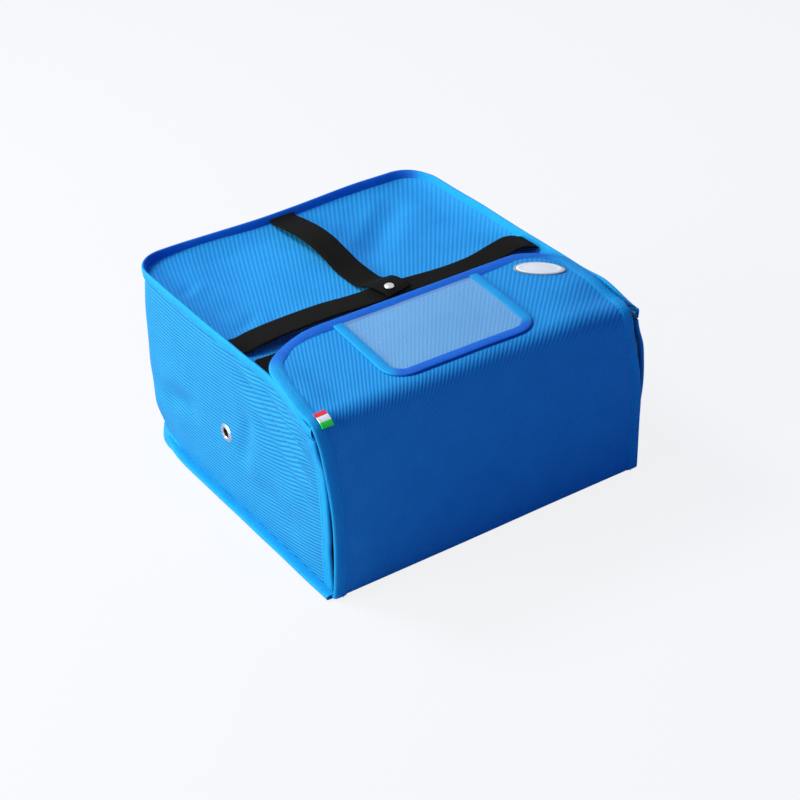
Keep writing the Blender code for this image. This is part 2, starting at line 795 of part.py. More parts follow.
def add_badge(material, axis):
    """A plain oval badge with a raised rim, sewn near the lip's right corner."""
    build = bmesh.new()
    long_half = badge_length / 2
    short_half = badge_width / 2
    rim = badge_rim / 2
    loops = []
    rings = ((0.0, 0.0), (0.0, badge_sheet), (rim, badge_sheet + rim), (badge_rim, badge_sheet))
    for inset, height in rings:
        loop = []
        for k in range(2 * round_facets):
            angle = math.pi * k / round_facets
            flat = Vector(((long_half - inset) * math.cos(angle),
                           (short_half - inset) * math.sin(angle), 0))
            flat.rotate(Matrix.Rotation(badge_turn, 3, 'Z'))
            loop.append(build.verts.new((lip_half - badge_side_setback + flat.x,
                                         lip_free_edge_y - badge_edge_setback + flat.y,
                                         lip_top + touch_gap + height)))
        loops.append(loop)
    for near, far in zip(loops, loops[1:]):
        for k in range(len(near)):
            m = (k + 1) % len(near)
            build.faces.new([near[k], near[m], far[m], far[k]])
    build.faces.new(loops[0][::-1])
    build.faces.new(loops[-1])
    add_object("badge", build, material, axis)


def add_tag(material, axis):
    """A small striped ribbon tag on the lip's left tape, lying over the fold."""
    reach = half_fold_angles(lip_fold_radius - panel_sheet)[0]
    folded = tag_length / 2
    angles = [reach * k / fold_facets for k in range(fold_facets, 0, -1)]
    angles = [angle for angle in angles if angle * lip_fold_radius <= folded + edge_round]
    runs = [-angle for angle in angles] + [0.0, tag_length - folded]
    sites = []
    for x in (-lip_half, -lip_half + tag_width):
        for run in runs:
            sites.append((lip_point(x, run, -touch_gap - tag_sheet), lip_point(x, run, -touch_gap)))
    count = len(runs)
    faces = [[r, r + count, r + count + 1, r + 1] for r in range(count - 1)]
    slab("striped_tag", sites, faces, material, axis)


def strap_slab(name, stations, material, parent, along_x):
    """Webbing along stations of (run, underside height), with its width square to the run."""
    sites = []
    half = strap_width / 2
    for side in (-1, 1):
        for k, (run, height) in enumerate(stations):
            before = stations[max(k - 1, 0)]
            after = stations[min(k + 1, len(stations) - 1)]
            slope = math.atan2(after[1] - before[1], after[0] - before[0])
            lift = Vector((-math.sin(slope), 0, math.cos(slope))) * strap_sheet
            low = Vector((run, side * half, height))
            if not along_x:
                low = Vector((side * half, run, height))
                lift = Vector((0, lift.x, lift.z))
            sites.append((low + lift, low))
    count = len(stations)
    faces = [[r, r + 1, r + count + 1, r + count] for r in range(count - 1)]
    return slab(name, sites, faces, material, parent)


def smooth_share(share):
    return share * share * (3 - 2 * share)


def add_carry_strap(materials, axis):
    """The carry strap across the top, sewn into both side seams, with slack to lift."""
    end = wall_x - rim_inner_reach - touch_gap
    reach = end - handle_flat_half
    steps = 3 * corner_facets
    right = [(0.0, strap_level)]
    for k in range(steps + 1):
        share = k / steps
        height = (strap_level - top_level - touch_gap) * (1 - smooth_share(share))
        height += handle_bow * math.sin(math.pi * share) ** 2 + top_level + touch_gap
        right.append((handle_flat_half + reach * share, height))
    stations = [(-run, height) for run, height in reversed(right[1:])] + right
    strap = strap_slab("carry_strap", stations, materials["webbing"], axis, True)
    move_along(strap, strap_y)
    cut_round(strap, Vector((0, strap_y, strap_level)), shank_radius + shank_clearance,
              2 * strap_sheet + cut_overrun)


def move_along(item, y):
    item.data.transform(Matrix.Translation(Vector((0, y, 0))))


def stud_levels():
    """Heights of the press stud's stack, from the strap's underside up to the tab's top."""
    strap_high = strap_level + strap_sheet
    stud_low = strap_high + touch_gap
    socket_low = stud_low + stud_flange + touch_gap
    tab_low = socket_low + socket_height + touch_gap
    return strap_high, stud_low, socket_low, tab_low


def add_rear_strap(materials, handle_axis, tab_axis):
    """The strap from the rear seam, and the tab at its end that closes on the carry strap."""
    tab_low = stud_levels()[3]
    rear = wall_back_y - rim_inner_reach - touch_gap
    hinge_y = strap_y + strap_width / 2 + strap_sheet
    length = rear - hinge_y - touch_gap / 2
    steps = 4 * corner_facets
    stations = []
    for k in range(steps + 1):
        share = k / steps
        height = top_level + touch_gap
        if share < hump_share:
            height += rear_hump * math.sin(math.pi * share / hump_share) ** 2
        else:
            climb = (share - hump_share) / (1 - hump_share)
            height += (tab_low - top_level - touch_gap) * smooth_share(climb)
        stations.append((rear - length * share, height))
    strap_slab("rear_strap", stations[::-1], materials["webbing"], handle_axis, False)
    tab_front = strap_y - strap_width / 2
    tab = strap_slab("strap_tab", [(tab_front, tab_low), (hinge_y - touch_gap / 2, tab_low)],
                     materials["webbing"], tab_axis, False)
    cut_round(tab, Vector((0, strap_y, tab_low)), shank_radius + shank_clearance,
              2 * strap_sheet + cut_overrun)


def add_press_stud(material, handle_axis, tab_axis):
    """Cap and socket on the tab, stud and post on the carry strap."""
    strap_high, stud_low, socket_low, tab_low = stud_levels()
    tab_high = tab_low + strap_sheet
    cap_low = tab_high + touch_gap
    centre = Vector((0, strap_y, 0))
    knob_high = stud_low + stud_flange + knob_height
    turned("snap_cap",
           [(0, knob_high + touch_gap), (shank_radius, knob_high + touch_gap),
            (shank_radius, cap_low), (cap_radius - cap_height / 4, cap_low),
            (cap_radius, cap_low + cap_height / 4),
            *((cap_radius * across, cap_low + cap_height * up)
              for across, up in zip(cap_brow_shares, cap_crown_shares)),
            (0, cap_low + cap_height)],
           material, centre, tab_axis)
    socket_high = socket_low + socket_height
    bead = socket_height / 4
    turned("snap_socket",
           [(socket_bore_radius, socket_low), (socket_radius - bead, socket_low),
            (socket_radius, socket_low + bead), (socket_radius, socket_high - bead),
            (socket_radius - bead, socket_high), (shank_radius + shank_clearance, socket_high),
            (shank_radius + shank_clearance, socket_high - bead / 2),
            (socket_bore_radius, socket_high - bead / 2)],
           material, centre, tab_axis)
    bore = shank_radius + shank_clearance
    neck_high = stud_low + stud_flange
    hollow_high = neck_high + knob_height / 2
    turned("snap_stud",
           [(0, hollow_high), (bore, hollow_high), (bore, stud_low), (stud_radius, stud_low),
            (stud_radius, neck_high), (knob_radius * knob_neck_share, neck_high),
            (knob_radius, hollow_high), (knob_radius * knob_crown_share, knob_high),
            (0, knob_high)],
           material, centre, handle_axis)
    post_high = strap_level - touch_gap
    post_low = post_high - post_flange
    shank_high = hollow_high - touch_gap
    turned("snap_post",
           [(0, post_low), (post_radius * post_foot_share, post_low),
            (post_radius, post_low + post_flange / 2), (post_radius * post_brow_share, post_high),
            (shank_radius, post_high), (shank_radius, shank_high), (0, shank_high)],
           material, centre, handle_axis)


def build_bag():
    clear_scene()
    materials = {
        "cloth": finish_material("blue_cloth", (0.030, 0.250, 0.720), 0.55),
        "foam": finish_material("white_foam", (0.80, 0.80, 0.78), 0.90),
        "lining": finish_material("grey_lining", (0.55, 0.57, 0.60), 0.45),
        "board": finish_material("grey_board", (0.25, 0.25, 0.26), 0.80),
        "tape": finish_material("blue_tape", (0.015, 0.330, 0.780), 0.50),
        "grip": finish_material("black_grip_tape", (0.015, 0.015, 0.017), 0.95),
        "webbing": finish_material("black_webbing", (0.012, 0.012, 0.013), 0.80),
        "window": finish_material("clear_window", (0.55, 0.70, 0.85), 0.15, 0.0, 0.35),
        "steel": finish_material("nickel_steel", (0.60, 0.60, 0.62), 0.25, 1.0),
        "badge": finish_material("pale_badge", (0.78, 0.79, 0.80), 0.40),
        "tag": finish_material("striped_ribbon", (0.75, 0.75, 0.75), 0.60),
    }
    fold_rise = base_fold_radius * (1 - root_half)
    lip_drop = lip_fold_radius * (1 - root_half)
    front_axis = add_axis("front_axis", (0, front_y + fold_rise, fold_rise))
    lip_axis = add_axis("lip_axis", (0, front_y + lip_drop, lip_top - lip_drop))
    handle_axis = add_axis("handle_axis", (0, strap_y, strap_level))
    tab_top = stud_levels()[3] + strap_sheet
    hinge_y = strap_y + strap_width / 2 + strap_sheet
    tab_axis = add_axis("tab_axis", (0, hinge_y, tab_top))
    add_base(materials)
    add_walls(materials)
    add_top(materials)
    add_rim_tape(materials["tape"])
    add_front(materials, front_axis)
    add_lip(materials, lip_axis)
    add_grip_tapes(materials, lip_axis)
    add_pocket(materials, lip_axis)
    add_badge(materials["badge"], lip_axis)
    add_tag(materials["tag"], lip_axis)
    add_carry_strap(materials, handle_axis)
    add_rear_strap(materials, handle_axis, tab_axis)
    add_press_stud(materials["steel"], handle_axis, tab_axis)


build_bag()
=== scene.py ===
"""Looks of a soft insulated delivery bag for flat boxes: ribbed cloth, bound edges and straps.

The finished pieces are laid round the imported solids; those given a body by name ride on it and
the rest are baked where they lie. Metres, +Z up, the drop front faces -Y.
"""
import json
import math
from functools import lru_cache

import bpy
from mathutils import Matrix, Vector, noise


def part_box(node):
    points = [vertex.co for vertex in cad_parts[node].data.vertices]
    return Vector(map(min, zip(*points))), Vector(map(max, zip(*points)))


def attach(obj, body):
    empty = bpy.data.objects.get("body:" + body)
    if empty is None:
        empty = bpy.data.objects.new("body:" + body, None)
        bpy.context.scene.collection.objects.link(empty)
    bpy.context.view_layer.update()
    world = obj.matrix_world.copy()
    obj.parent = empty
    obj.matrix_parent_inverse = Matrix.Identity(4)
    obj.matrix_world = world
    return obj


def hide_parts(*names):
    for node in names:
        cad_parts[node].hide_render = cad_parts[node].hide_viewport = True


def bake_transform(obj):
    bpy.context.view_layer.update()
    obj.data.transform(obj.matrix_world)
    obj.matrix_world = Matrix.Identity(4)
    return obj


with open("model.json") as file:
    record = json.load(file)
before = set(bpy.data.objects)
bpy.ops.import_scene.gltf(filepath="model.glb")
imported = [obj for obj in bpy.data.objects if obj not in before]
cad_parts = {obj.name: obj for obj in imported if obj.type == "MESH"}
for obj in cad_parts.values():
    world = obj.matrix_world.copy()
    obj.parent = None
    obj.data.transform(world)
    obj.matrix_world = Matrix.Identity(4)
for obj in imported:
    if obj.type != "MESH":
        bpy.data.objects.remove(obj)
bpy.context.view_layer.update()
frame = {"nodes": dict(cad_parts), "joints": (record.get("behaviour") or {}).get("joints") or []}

bl_info = {
    "name": "Delivery bag looks",
    "version": (1, 0, 0),
    "blender": (4, 5, 0),
    "location": "View3D > Sidebar > Delivery bag",
    "description": "Cloth, tape, webbing and metal finishes of a soft delivery bag",
    "category": "Object",
}

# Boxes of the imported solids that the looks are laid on
rim_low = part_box("top_binding")[0]
flange_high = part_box("base_binding")[1]
wall_foam_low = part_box("left_wall_foam")[0]
back_foam_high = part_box("back_wall_foam")[1]
top_foam_low, top_foam_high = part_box("top_foam")
base_lining_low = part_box("base_lining")[0]
front_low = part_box("front_cloth")[0]
lip_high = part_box("lip_binding")[1]
loop_low, loop_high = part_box("loop_tape")
hook_low, hook_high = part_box("hook_tape")
pocket_low, pocket_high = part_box("pocket_binding")
badge_low, badge_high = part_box("badge")
tag_low, tag_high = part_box("striped_tag")
strap_low, strap_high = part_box("carry_strap")
cap_low, cap_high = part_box("snap_cap")
eyelet_low, eyelet_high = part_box("left_eyelet")
vent_radius = (eyelet_high.y - eyelet_low.y) / 2
tab_hinge_y = next(joint["pos_m"][1] for joint in frame["joints"] if joint["name"] == "tab_hinge")

# Cloth, padding and tape, in metres
cloth_depth = 0.0013
padding = 0.0076
lining_sheet = 0.0009
lining_gap = 0.0002
lining_end = 0.002
lining_inset = padding + 0.0016
tape_width = 0.0128
tape_sheet = 0.0009
rim_width = 0.0106
seam_half = 0.0017
edge_half = 0.0022
base_tape_width = tape_width - 0.0022
tuck = 0.0030
cloth_inset = 0.0008
panel_inset = 0.0022
panel_lining_inset = 0.0030
mesh_step = 0.0048
wall_step = 0.0028
carry_step = 0.0042
rear_step = 0.0030
lining_cells = 60
stitch_pitch = 0.0034
stitch_length = 0.0027
thread_radius = 0.00035
stitch_inset = 0.0095
thread_gap = 0.00015
sides = ((-1, "left"), (1, "right"))

# Depth of the padding where a tape grips its edge, and how far in the tape's grip reaches
pinch = 0.0024
panel_pinch = 0.0026
lining_pinch = 0.0026
grip_reach = 0.012

# Main lines of the box
wall_half = cloth_depth - wall_foam_low.x
wall_back = back_foam_high.y + cloth_depth
wall_front = rim_low.y
corner_radius = 0.032
base_corner = 0.066
flange_ahead = 0.0050
top_level = top_foam_high.z + cloth_depth
top_front = top_foam_low.y - 0.0145
base_level = flange_high.z
bag_half = flange_high.x
front_y = front_low.y

# Folded panel
base_fold_radius = 0.004
lip_fold_radius = 0.018
lip_level = lip_high.z
lip_edge_y = lip_high.y
fold_y = front_y + lip_fold_radius
fold_z = lip_level - lip_fold_radius
panel_split_z = fold_z - 0.018
base_overlap = 0.010

# Half width of the panel on each side, by the run of panel above the floor
left_half_keys = ((0.000, 0.1798), (0.008, 0.1796), (0.022, 0.1782), (0.062, 0.1758), (0.102, 0.1768),
                  (0.150, 0.1820), (0.1725, 0.1854), (0.184, 0.1880), (0.198, 0.1889),
                  (0.213, 0.1896), (0.245, 0.1864), (0.281, 0.1792), (0.300, 0.1770),
                  (0.344, 0.1760))
right_half_keys = ((0.000, 0.1862), (0.058, 0.1868), (0.082, 0.1874), (0.100, 0.1862),
                   (0.1175, 0.1842), (0.145, 0.1790), (0.167, 0.1750), (0.191, 0.1735),
                   (0.205, 0.1752), (0.222, 0.1775), (0.250, 0.1782), (0.281, 0.1790),
                   (0.300, 0.1790), (0.344, 0.1780))

# Rounded corners of the lip, as width and length, and how its free edge shifts and curls
left_corner = (0.082, 0.058)
right_corner = (0.052, 0.042)
lip_edge_shift = -0.0046
lip_edge_slope = 0.004
lip_curl = (0.018, 0.0032)

# Document pocket, badge and ribbon on the lip
pocket_half = pocket_high.x
pocket_front_y = pocket_low.y - 0.0125
pocket_skew = 0.090
pocket_corner = 0.026
pocket_tape = 0.0100
pocket_lift = 0.0013
pocket_step = 0.004
film_inset = 0.0045
badge_half = (0.0250, 0.0126)
badge_middle = Vector(((badge_low.x + badge_high.x) / 2 + 0.0040,
                       (badge_low.y + badge_high.y) / 2 - 0.0005, 0))
ribbon_width = tag_high.x - tag_low.x
ribbon_length = 0.0142
ribbon_inset = 0.0072
loop_tape_left = -0.1685
loop_tape_rear = loop_high.y + 0.004
grip_sheet = 0.0014
grip_corner = 0.002

# Straps
strap_width = strap_high.y - strap_low.y
strap_shift = 0.0026
tab_start = 0.0020
tab_end = -0.0360
tab_turn = 0.130
strap_y = (strap_high.y + strap_low.y) / 2
strap_sheet = 0.0020
stud_place = Vector(((cap_low.x + cap_high.x) / 2, (cap_low.y + cap_high.y) / 2, cap_low.z))

# How far the walls' front edges splay out, by height
left_flare_keys = ((0.004, 0.0000), (0.030, 0.0006), (0.060, 0.0014), (0.113, 0.0022),
                   (0.150, 0.0046), (0.172, 0.0076), (0.190, 0.0090))
right_flare_keys = ((0.004, 0.0008), (0.050, 0.0110), (0.096, 0.0180), (0.140, 0.0165),
                    (0.170, 0.0125), (0.190, 0.0090))
left_flare_reach = 0.095
right_flare_reach = 0.085

# How steeply the top seam's tape stands, in degrees, by the run from each front end
left_lean_keys = ((0.00, 84), (0.30, 86), (0.35, 78), (0.41, 62))
right_lean_keys = ((0.00, 84), (0.06, 76), (0.12, 71), (0.30, 69), (0.36, 65), (0.41, 62))

# How the top seam strays: out at the left front and right rear, in at the left rear corner and
# where the rear strap is sewn on, and down at its front ends
seam_front_spread = 0.0012
seam_rear_push = 0.0030
seam_strap_pull = 0.0022
seam_corner_pull = 0.0016
seam_rear_rise = 0.0020
left_seam_drop, left_drop_reach = 0.0075, 0.045
right_seam_drop, right_drop_reach = 0.0150, 0.055

# How the walls lie between their seams. The right one repeats four of the left one's creases,
# shifted and a little weaker.
wall_unevenness = 0.0014
crease_limit = 0.0095
right_crease_share = 0.8
right_crease_shift = 0.022
base_corner_tuck = 0.0070
wall_edge_bow = 0.0026
wall_edge_ahead = 0.0012
wall_edge_out = 0.0012
top_edge_short = 0.010

# How the top, the panel and the base's tape lie
top_turn_up = 0.0040
top_corner_sink = 0.0110
fold_end_sag = 0.0075
left_lip_ride = 0.0030
right_lip_drop = 0.0012
foot_push = 0.0012
base_tape_tuck = 0.0136

# The point in plan that the ribs of the top and of the folded panel spread from, and each
# cloth's scale, which sets how many ribs it shows
rib_centre = (-0.420, -0.690)
top_rib_scale = 0.84
panel_rib_scale = 0.743
wall_rib_scale = 1.077

# The band of the walls, as a run round the box from the left front edge to the right one
side_run = wall_back - corner_radius - wall_front
arc_run = math.pi / 2 * corner_radius
back_run = 2 * (wall_half - corner_radius)
band_run = 2 * (side_run + arc_run) + back_run
wall_low = base_level - 0.0022
wall_height = top_level - wall_low
wall_lining_high = top_foam_low.z - 0.0012


def look():
    return bpy.context.scene.bag_look


def spread(start, end, count):
    """Evenly spaced places from start to end."""
    return [start + (end - start) * k / count for k in range(count + 1)]


def steps_between(start, end, step=mesh_step):
    """Evenly spaced places from start to end, about a step apart."""
    return spread(start, end, int(abs(end - start) / step))


def smooth(share):
    share = min(max(share, 0.0), 1.0)
    return share * share * (3 - 2 * share)


def rising(place, start, reach):
    """0 up to the start, and from there smoothly up to 1 over the reach."""
    return smooth((place - start) / reach)


def mound(offset, width):
    """A soft mound: 1 in its middle, and about a third at its width."""
    return math.exp(-(offset / width) ** 2)


def swell(distance, reach):
    """How far a padded surface has risen at a distance from its seam, 0 to 1."""
    return 1 - math.exp(-max(distance, 0.0) / reach)


def ripple(place, size, seed):
    """Soft unevenness of hand-made padding, -1 to 1, the same each time."""
    return noise.noise(Vector(place) / size + Vector((seed, seed * 1.7, seed * 2.3)))


def crease(place, start, end, width, depth):
    """Depth of one crease in the cloth: a soft valley with a raised shoulder on its upper side."""
    line = (end[0] - start[0], end[1] - start[1])
    length = math.hypot(*line)
    along = ((place[0] - start[0]) * line[0] + (place[1] - start[1]) * line[1]) / length ** 2
    across = ((place[0] - start[0]) * line[1] - (place[1] - start[1]) * line[0]) / length
    fade = math.exp(-max(0.0, abs(along - 0.5) - 0.28) ** 2 / 0.045)
    valley = mound(across, width)
    shoulder = mound(across - 1.9 * width, 1.3 * width)
    return depth * fade * (valley - 0.55 * shoulder)


def deselect():
    if bpy.context.object is not None and bpy.context.object.mode != 'OBJECT':
        bpy.ops.object.mode_set(mode='OBJECT')
    bpy.ops.object.select_all(action='DESELECT')


def activate(item):
    deselect()
    item.select_set(True)
    bpy.context.view_layer.objects.active = item


def lay_grid(name, columns, rows, place, flat):
    """Lay a grid primitive over a form. place gives each point and flat its place on the cut cloth."""
    deselect()
    bpy.ops.mesh.primitive_grid_add(x_subdivisions=columns, y_subdivisions=rows, size=1)
    item = bpy.context.object
    item.name = name
    mesh = item.data
    mesh.name = name
    shares = [(vert.co.x + 0.5, vert.co.y + 0.5) for vert in mesh.vertices]
    for key, part in (("share_u", 0), ("share_v", 1)):
        attribute = mesh.attributes.new(key, 'FLOAT', 'POINT')
        attribute.data.foreach_set("value", [share[part] for share in shares])
    layer = mesh.uv_layers.active
    for loop in mesh.loops:
        layer.data[loop.index].uv = flat(*shares[loop.vertex_index])
    for vert, share in zip(mesh.vertices, shares):
        vert.co = place(*share)
    return item


def thicken(item, inner):
    """Extrude a laid grid into a closed pad whose other side lies where inner says."""
    activate(item)
    bpy.ops.object.mode_set(mode='EDIT')
    bpy.ops.mesh.select_all(action='SELECT')
    bpy.ops.mesh.extrude_region_move()
    bpy.ops.object.mode_set(mode='OBJECT')
    mesh = item.data
    share_u = mesh.attributes["share_u"].data
    share_v = mesh.attributes["share_v"].data
    for vert in mesh.vertices:
        if vert.select:
            vert.co = inner(share_u[vert.index].value, share_v[vert.index].value)
    return item


def close_up(item, angle):
    """Weld, cap and face outwards, then shade smooth but for real edges."""
    activate(item)
    bpy.ops.object.mode_set(mode='EDIT')
    bpy.ops.mesh.select_all(action='SELECT')
    bpy.ops.mesh.remove_doubles(threshold=0.00002)
    bpy.ops.mesh.select_all(action='DESELECT')
    bpy.ops.mesh.select_mode(type='EDGE')
    bpy.ops.mesh.select_non_manifold(extend=False, use_wire=False, use_multi_face=False,
                                     use_non_contiguous=False, use_verts=False)
    bpy.ops.mesh.fill_holes(sides=0)
    bpy.ops.mesh.select_all(action='SELECT')
    bpy.ops.mesh.normals_make_consistent(inside=False)
    bpy.ops.mesh.select_mode(type='VERT')
    bpy.ops.object.mode_set(mode='OBJECT')
    bpy.ops.object.shade_smooth_by_angle(angle=math.radians(angle))
    return item


def lay_pad(name, columns, rows, outer, inner, flat, angle=40.0):
    """A closed pad or strip between an outer and an inner surface, smooth up to an angle."""
    return close_up(thicken(lay_grid(name, columns, rows, outer, flat), inner), angle)


def lay_lining(name, columns, rows, place, flat, nodes, body="shell", vents=()):
    """A thin lining. place gives its inner face, drawn off the padding by a height."""
    item = lay_pad(name, columns, rows, lambda u, v: place(u, v, lining_sheet),
                   lambda u, v: place(u, v, 0.0), flat)
    pierce(item, vents)
    return finish(item, lining_material(), body, nodes)


def coat(item, material):
    item.data.materials.clear()
    item.data.materials.append(material)


def finish(item, material, body, nodes=()):
    """Give a piece its finish, hide the solids it stands for and hang it on its body if one is named; a
    piece given anything else is baked where it lies.
    """
    coat(item, material)
    for key in ("share_u", "share_v"):
        attribute = item.data.attributes.get(key)
        if attribute is not None:
            item.data.attributes.remove(attribute)
    if nodes:
        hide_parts(*nodes)
    if isinstance(body, str):
        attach(item, body)
    else:
        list(body)
        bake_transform(item)
    return item


# Materials

def add_node(tree, kind, **sockets):
    node = tree.nodes.new(kind)
    set_sockets(node, sockets)
    return node


def set_sockets(node, sockets):
    for name, value in sockets.items():
        node.inputs[name.replace("_", " ")].default_value = value


def tone(colour, factor):
    return tuple(min(part * factor, 1.0) for part in colour)


class Finish:
    """A material in the making, with the patterns that give its colour and relief."""

    def __init__(self, name, colour, roughness, source="UV", **sockets):
        self.material = bpy.data.materials.new(name)
        self.material.use_nodes = True
        self.tree = self.material.node_tree
        self.shader = self.tree.nodes["Principled BSDF"]
        set_sockets(self.shader, dict(sockets, Base_Color=(*colour, 1.0), Roughness=roughness))
        self.place = self.tree.nodes.new("ShaderNodeTexCoord").outputs[source]
        self.relief = None

    def join(self, source, target):
        self.tree.links.new(source, target)

    def pattern(self, kind, **sockets):
        node = add_node(self.tree, "ShaderNodeTex" + kind, **sockets)
        self.join(self.place, node.inputs["Vector"])
        return node

    def bands(self, period, way='X', **sockets):
        """Bands that repeat at a period in metres."""
        node = self.pattern("Wave", Scale=2 * math.pi / (20 * period), **sockets)
        node.bands_direction = way
        return node.outputs["Fac"]

    def noise(self, scale, **sockets):
        return self.pattern("Noise", Scale=scale, **sockets).outputs["Fac"]

    def cells(self, scale, randomness):
        return self.pattern("Voronoi", Scale=scale, Randomness=randomness).outputs["Distance"]

    def steps(self, source, *stops):
        """Colours at places along a pattern."""
        ramp = self.tree.nodes.new("ShaderNodeValToRGB")
        while len(ramp.color_ramp.elements) < len(stops):
            ramp.color_ramp.elements.new(0.5)
        for element, (place, colour) in zip(ramp.color_ramp.elements, stops):
            element.position = place
            element.color = (*colour, 1.0)
        self.join(source, ramp.inputs["Fac"])
        return ramp.outputs["Color"]

    def paint(self, whole, *layers):
        """Colour the surface, each layer darkening what lies under it."""
        for layer in layers:
            mixed = self.tree.nodes.new("ShaderNodeMix")
            mixed.data_type = 'RGBA'
            mixed.blend_type = 'MULTIPLY'
            mixed.inputs["Factor"].default_value = 1.0
            self.join(whole, mixed.inputs[6])
            self.join(layer, mixed.inputs[7])
            whole = mixed.outputs[2]
        self.join(whole, self.shader.inputs["Base Color"])

    def emboss(self, height, strength, distance, invert=False):
        """Add fine relief over what has been added so far."""
        bump = add_node(self.tree, "ShaderNodeBump", Strength=strength, Distance=distance)
        bump.invert = invert
        self.join(height, bump.inputs["Height"])
        if self.relief is not None:
            self.join(self.relief, bump.inputs["Normal"])
        self.relief = bump.outputs["Normal"]
        self.join(self.relief, self.shader.inputs["Normal"])


white = (1.0, 1.0, 1.0)


@lru_cache(maxsize=None)
def cloth_material(name, turn, groove=0.90):
    """Coated cloth with raised ribs, a fine weave between them and a low sheen."""
    colour = tuple(look().cloth_colour)
    cloth = Finish(name, colour, 0.55, Specular_IOR_Level=0.06)
    patches = cloth.noise(26.0, Detail=3.0, Roughness=0.55)
    turned = add_node(cloth.tree, "ShaderNodeMapping", Rotation=(0, 0, math.radians(turn)))
    cloth.join(cloth.place, turned.inputs["Vector"])
    cloth.place = turned.outputs["Vector"]
    ribs = cloth.bands(look().rib_period, Distortion=0.35, Detail=1.0, Detail_Scale=0.6)
    weave = cloth.bands(0.0011, 'Y', Distortion=0.8, Detail=1.0, Detail_Scale=2.0)
    cloth.paint(cloth.steps(ribs, (0.10, tone(colour, groove)), (0.55, colour),
                            (0.95, tone(colour, 1.06))),
                cloth.steps(patches, (0.35, (0.93, 0.94, 0.95)), (0.65, white)))
    cloth.emboss(weave, 0.35, 0.00012)
    cloth.emboss(ribs, 0.85, look().rib_height)
    return cloth.material


@lru_cache(maxsize=None)
def tape_material():
    """Woven edge tape: close ribs across its width, and painted shade, a deeper tone, where it runs
    across the bag, in place of the sheen on its weave.
    """
    colour = tuple(look().tape_colour)
    tape = Finish("woven_edge_tape", colour, 0.48, Specular_IOR_Level=0.12)
    weft = tape.bands(0.0012, Distortion=0.5, Detail=1.0, Detail_Scale=1.5)
    warp = tape.bands(0.0009, 'Y', Distortion=0.4)
    patches = tape.noise(40.0, Detail=2.0)
    painted_sheen_node = tape.tree.nodes.new("ShaderNodeAttribute")
    painted_sheen_node.attribute_name = "painted_sheen"
    tape.paint(tape.steps(weft, (0.0, tone(colour, 0.74)), (0.5, colour), (1.0, tone(colour, 1.10))),
               tape.steps(patches, (0.3, (0.88, 0.90, 0.94)), (0.7, white)),
               # Painted sheen and shade: where the tape runs across the bag its colour is multiplied down
               # to a deeper blue.
               tape.steps(painted_sheen_node.outputs["Fac"], (0.0, (0.20, 0.41, 0.88)), (1.0, white)))
    tape.emboss(warp, 0.5, 0.00015)
    tape.emboss(weft, 0.7, 0.0003)
    return tape.material


@lru_cache(maxsize=None)
def lining_material():
    """Wipe-clean silver-grey lining with a crossed fine weave."""
    colour = tuple(look().lining_colour)
    lining = Finish("silver_grey_lining", colour, 0.36, Metallic=0.25)
    crinkle = lining.noise(60.0, Detail=4.0, Roughness=0.6)
    lining.paint(lining.steps(crinkle, (0.3, tone(colour, 0.82)), (0.7, tone(colour, 1.08))))
    lining.emboss(lining.cells(900.0, 0.25), 0.3, 0.00015)
    lining.emboss(crinkle, 0.35, 0.0009)
    return lining.material


@lru_cache(maxsize=None)
def webbing_material():
    """Black webbing: rows of flat yarns across its width, crossed by the edge yarns."""
    colour = tuple(look().webbing_colour)
    webbing = Finish("black_webbing", colour, 0.70, Specular_IOR_Level=0.035)
    rows = webbing.bands(0.0017, Distortion=0.6, Detail=1.0, Detail_Scale=1.2)
    yarns = webbing.bands(0.0024, 'Y', Distortion=0.5)
    webbing.paint(webbing.steps(rows, (0.0, tone(colour, 0.45)), (0.6, colour), (1.0, tone(colour, 1.5))))
    webbing.emboss(yarns, 0.6, 0.0003)
    webbing.emboss(rows, 0.8, 0.0005)
    return webbing.material


@lru_cache(maxsize=None)
def pile_material():
    """Black hook and loop tape: a close matt pile."""
    colour = tone(tuple(look().webbing_colour), 0.8)
    tape = Finish("black_pile_tape", colour, 0.92, "Object", Specular_IOR_Level=0.08)
    pile = tape.cells(1100.0, 1.0)
    tape.paint(tape.steps(pile, (0.0, tone(colour, 1.9)), (0.7, tone(colour, 0.5))))
    tape.emboss(pile, 0.9, 0.0006, True)
    return tape.material


@lru_cache(maxsize=None)
def film_material():
    """Clear soft film, a little milky and faintly rippled."""
    film = Finish("clear_soft_film", (0.42, 0.70, 0.86), 0.26, "Object", Alpha=0.18,
                  Specular_IOR_Level=0.20)
    film.emboss(film.noise(38.0, Detail=2.0), 0.25, 0.0012)
    return film.material


@lru_cache(maxsize=None)
def metal_material():
    """Nickel-plated pressed steel with fine handling marks."""
    metal = Finish("nickel_plate", (0.62, 0.62, 0.63), 0.24, "Object", Metallic=1.0)
    marks = metal.noise(900.0, Detail=3.0, Roughness=0.7)
    rough = add_node(metal.tree, "ShaderNodeMapRange", To_Min=0.18, To_Max=0.40)
    metal.join(marks, rough.inputs["Value"])
    metal.join(rough.outputs["Result"], metal.shader.inputs["Roughness"])
    metal.paint(metal.steps(marks, (0.2, (0.48, 0.48, 0.50)), (0.8, (0.72, 0.72, 0.73))))
    return metal.material


@lru_cache(maxsize=None)
def plain_material(name, colour, roughness, grain):
    """A plain moulded or spun finish with a fine grain."""
    plain = Finish(name, colour, roughness, "Object")
    grains = plain.noise(1 / grain, Detail=2.0)
    plain.paint(plain.steps(grains, (0.3, tone(colour, 0.86)), (0.7, tone(colour, 1.06))))
    plain.emboss(grains, 0.5, 0.0001)
    return plain.material


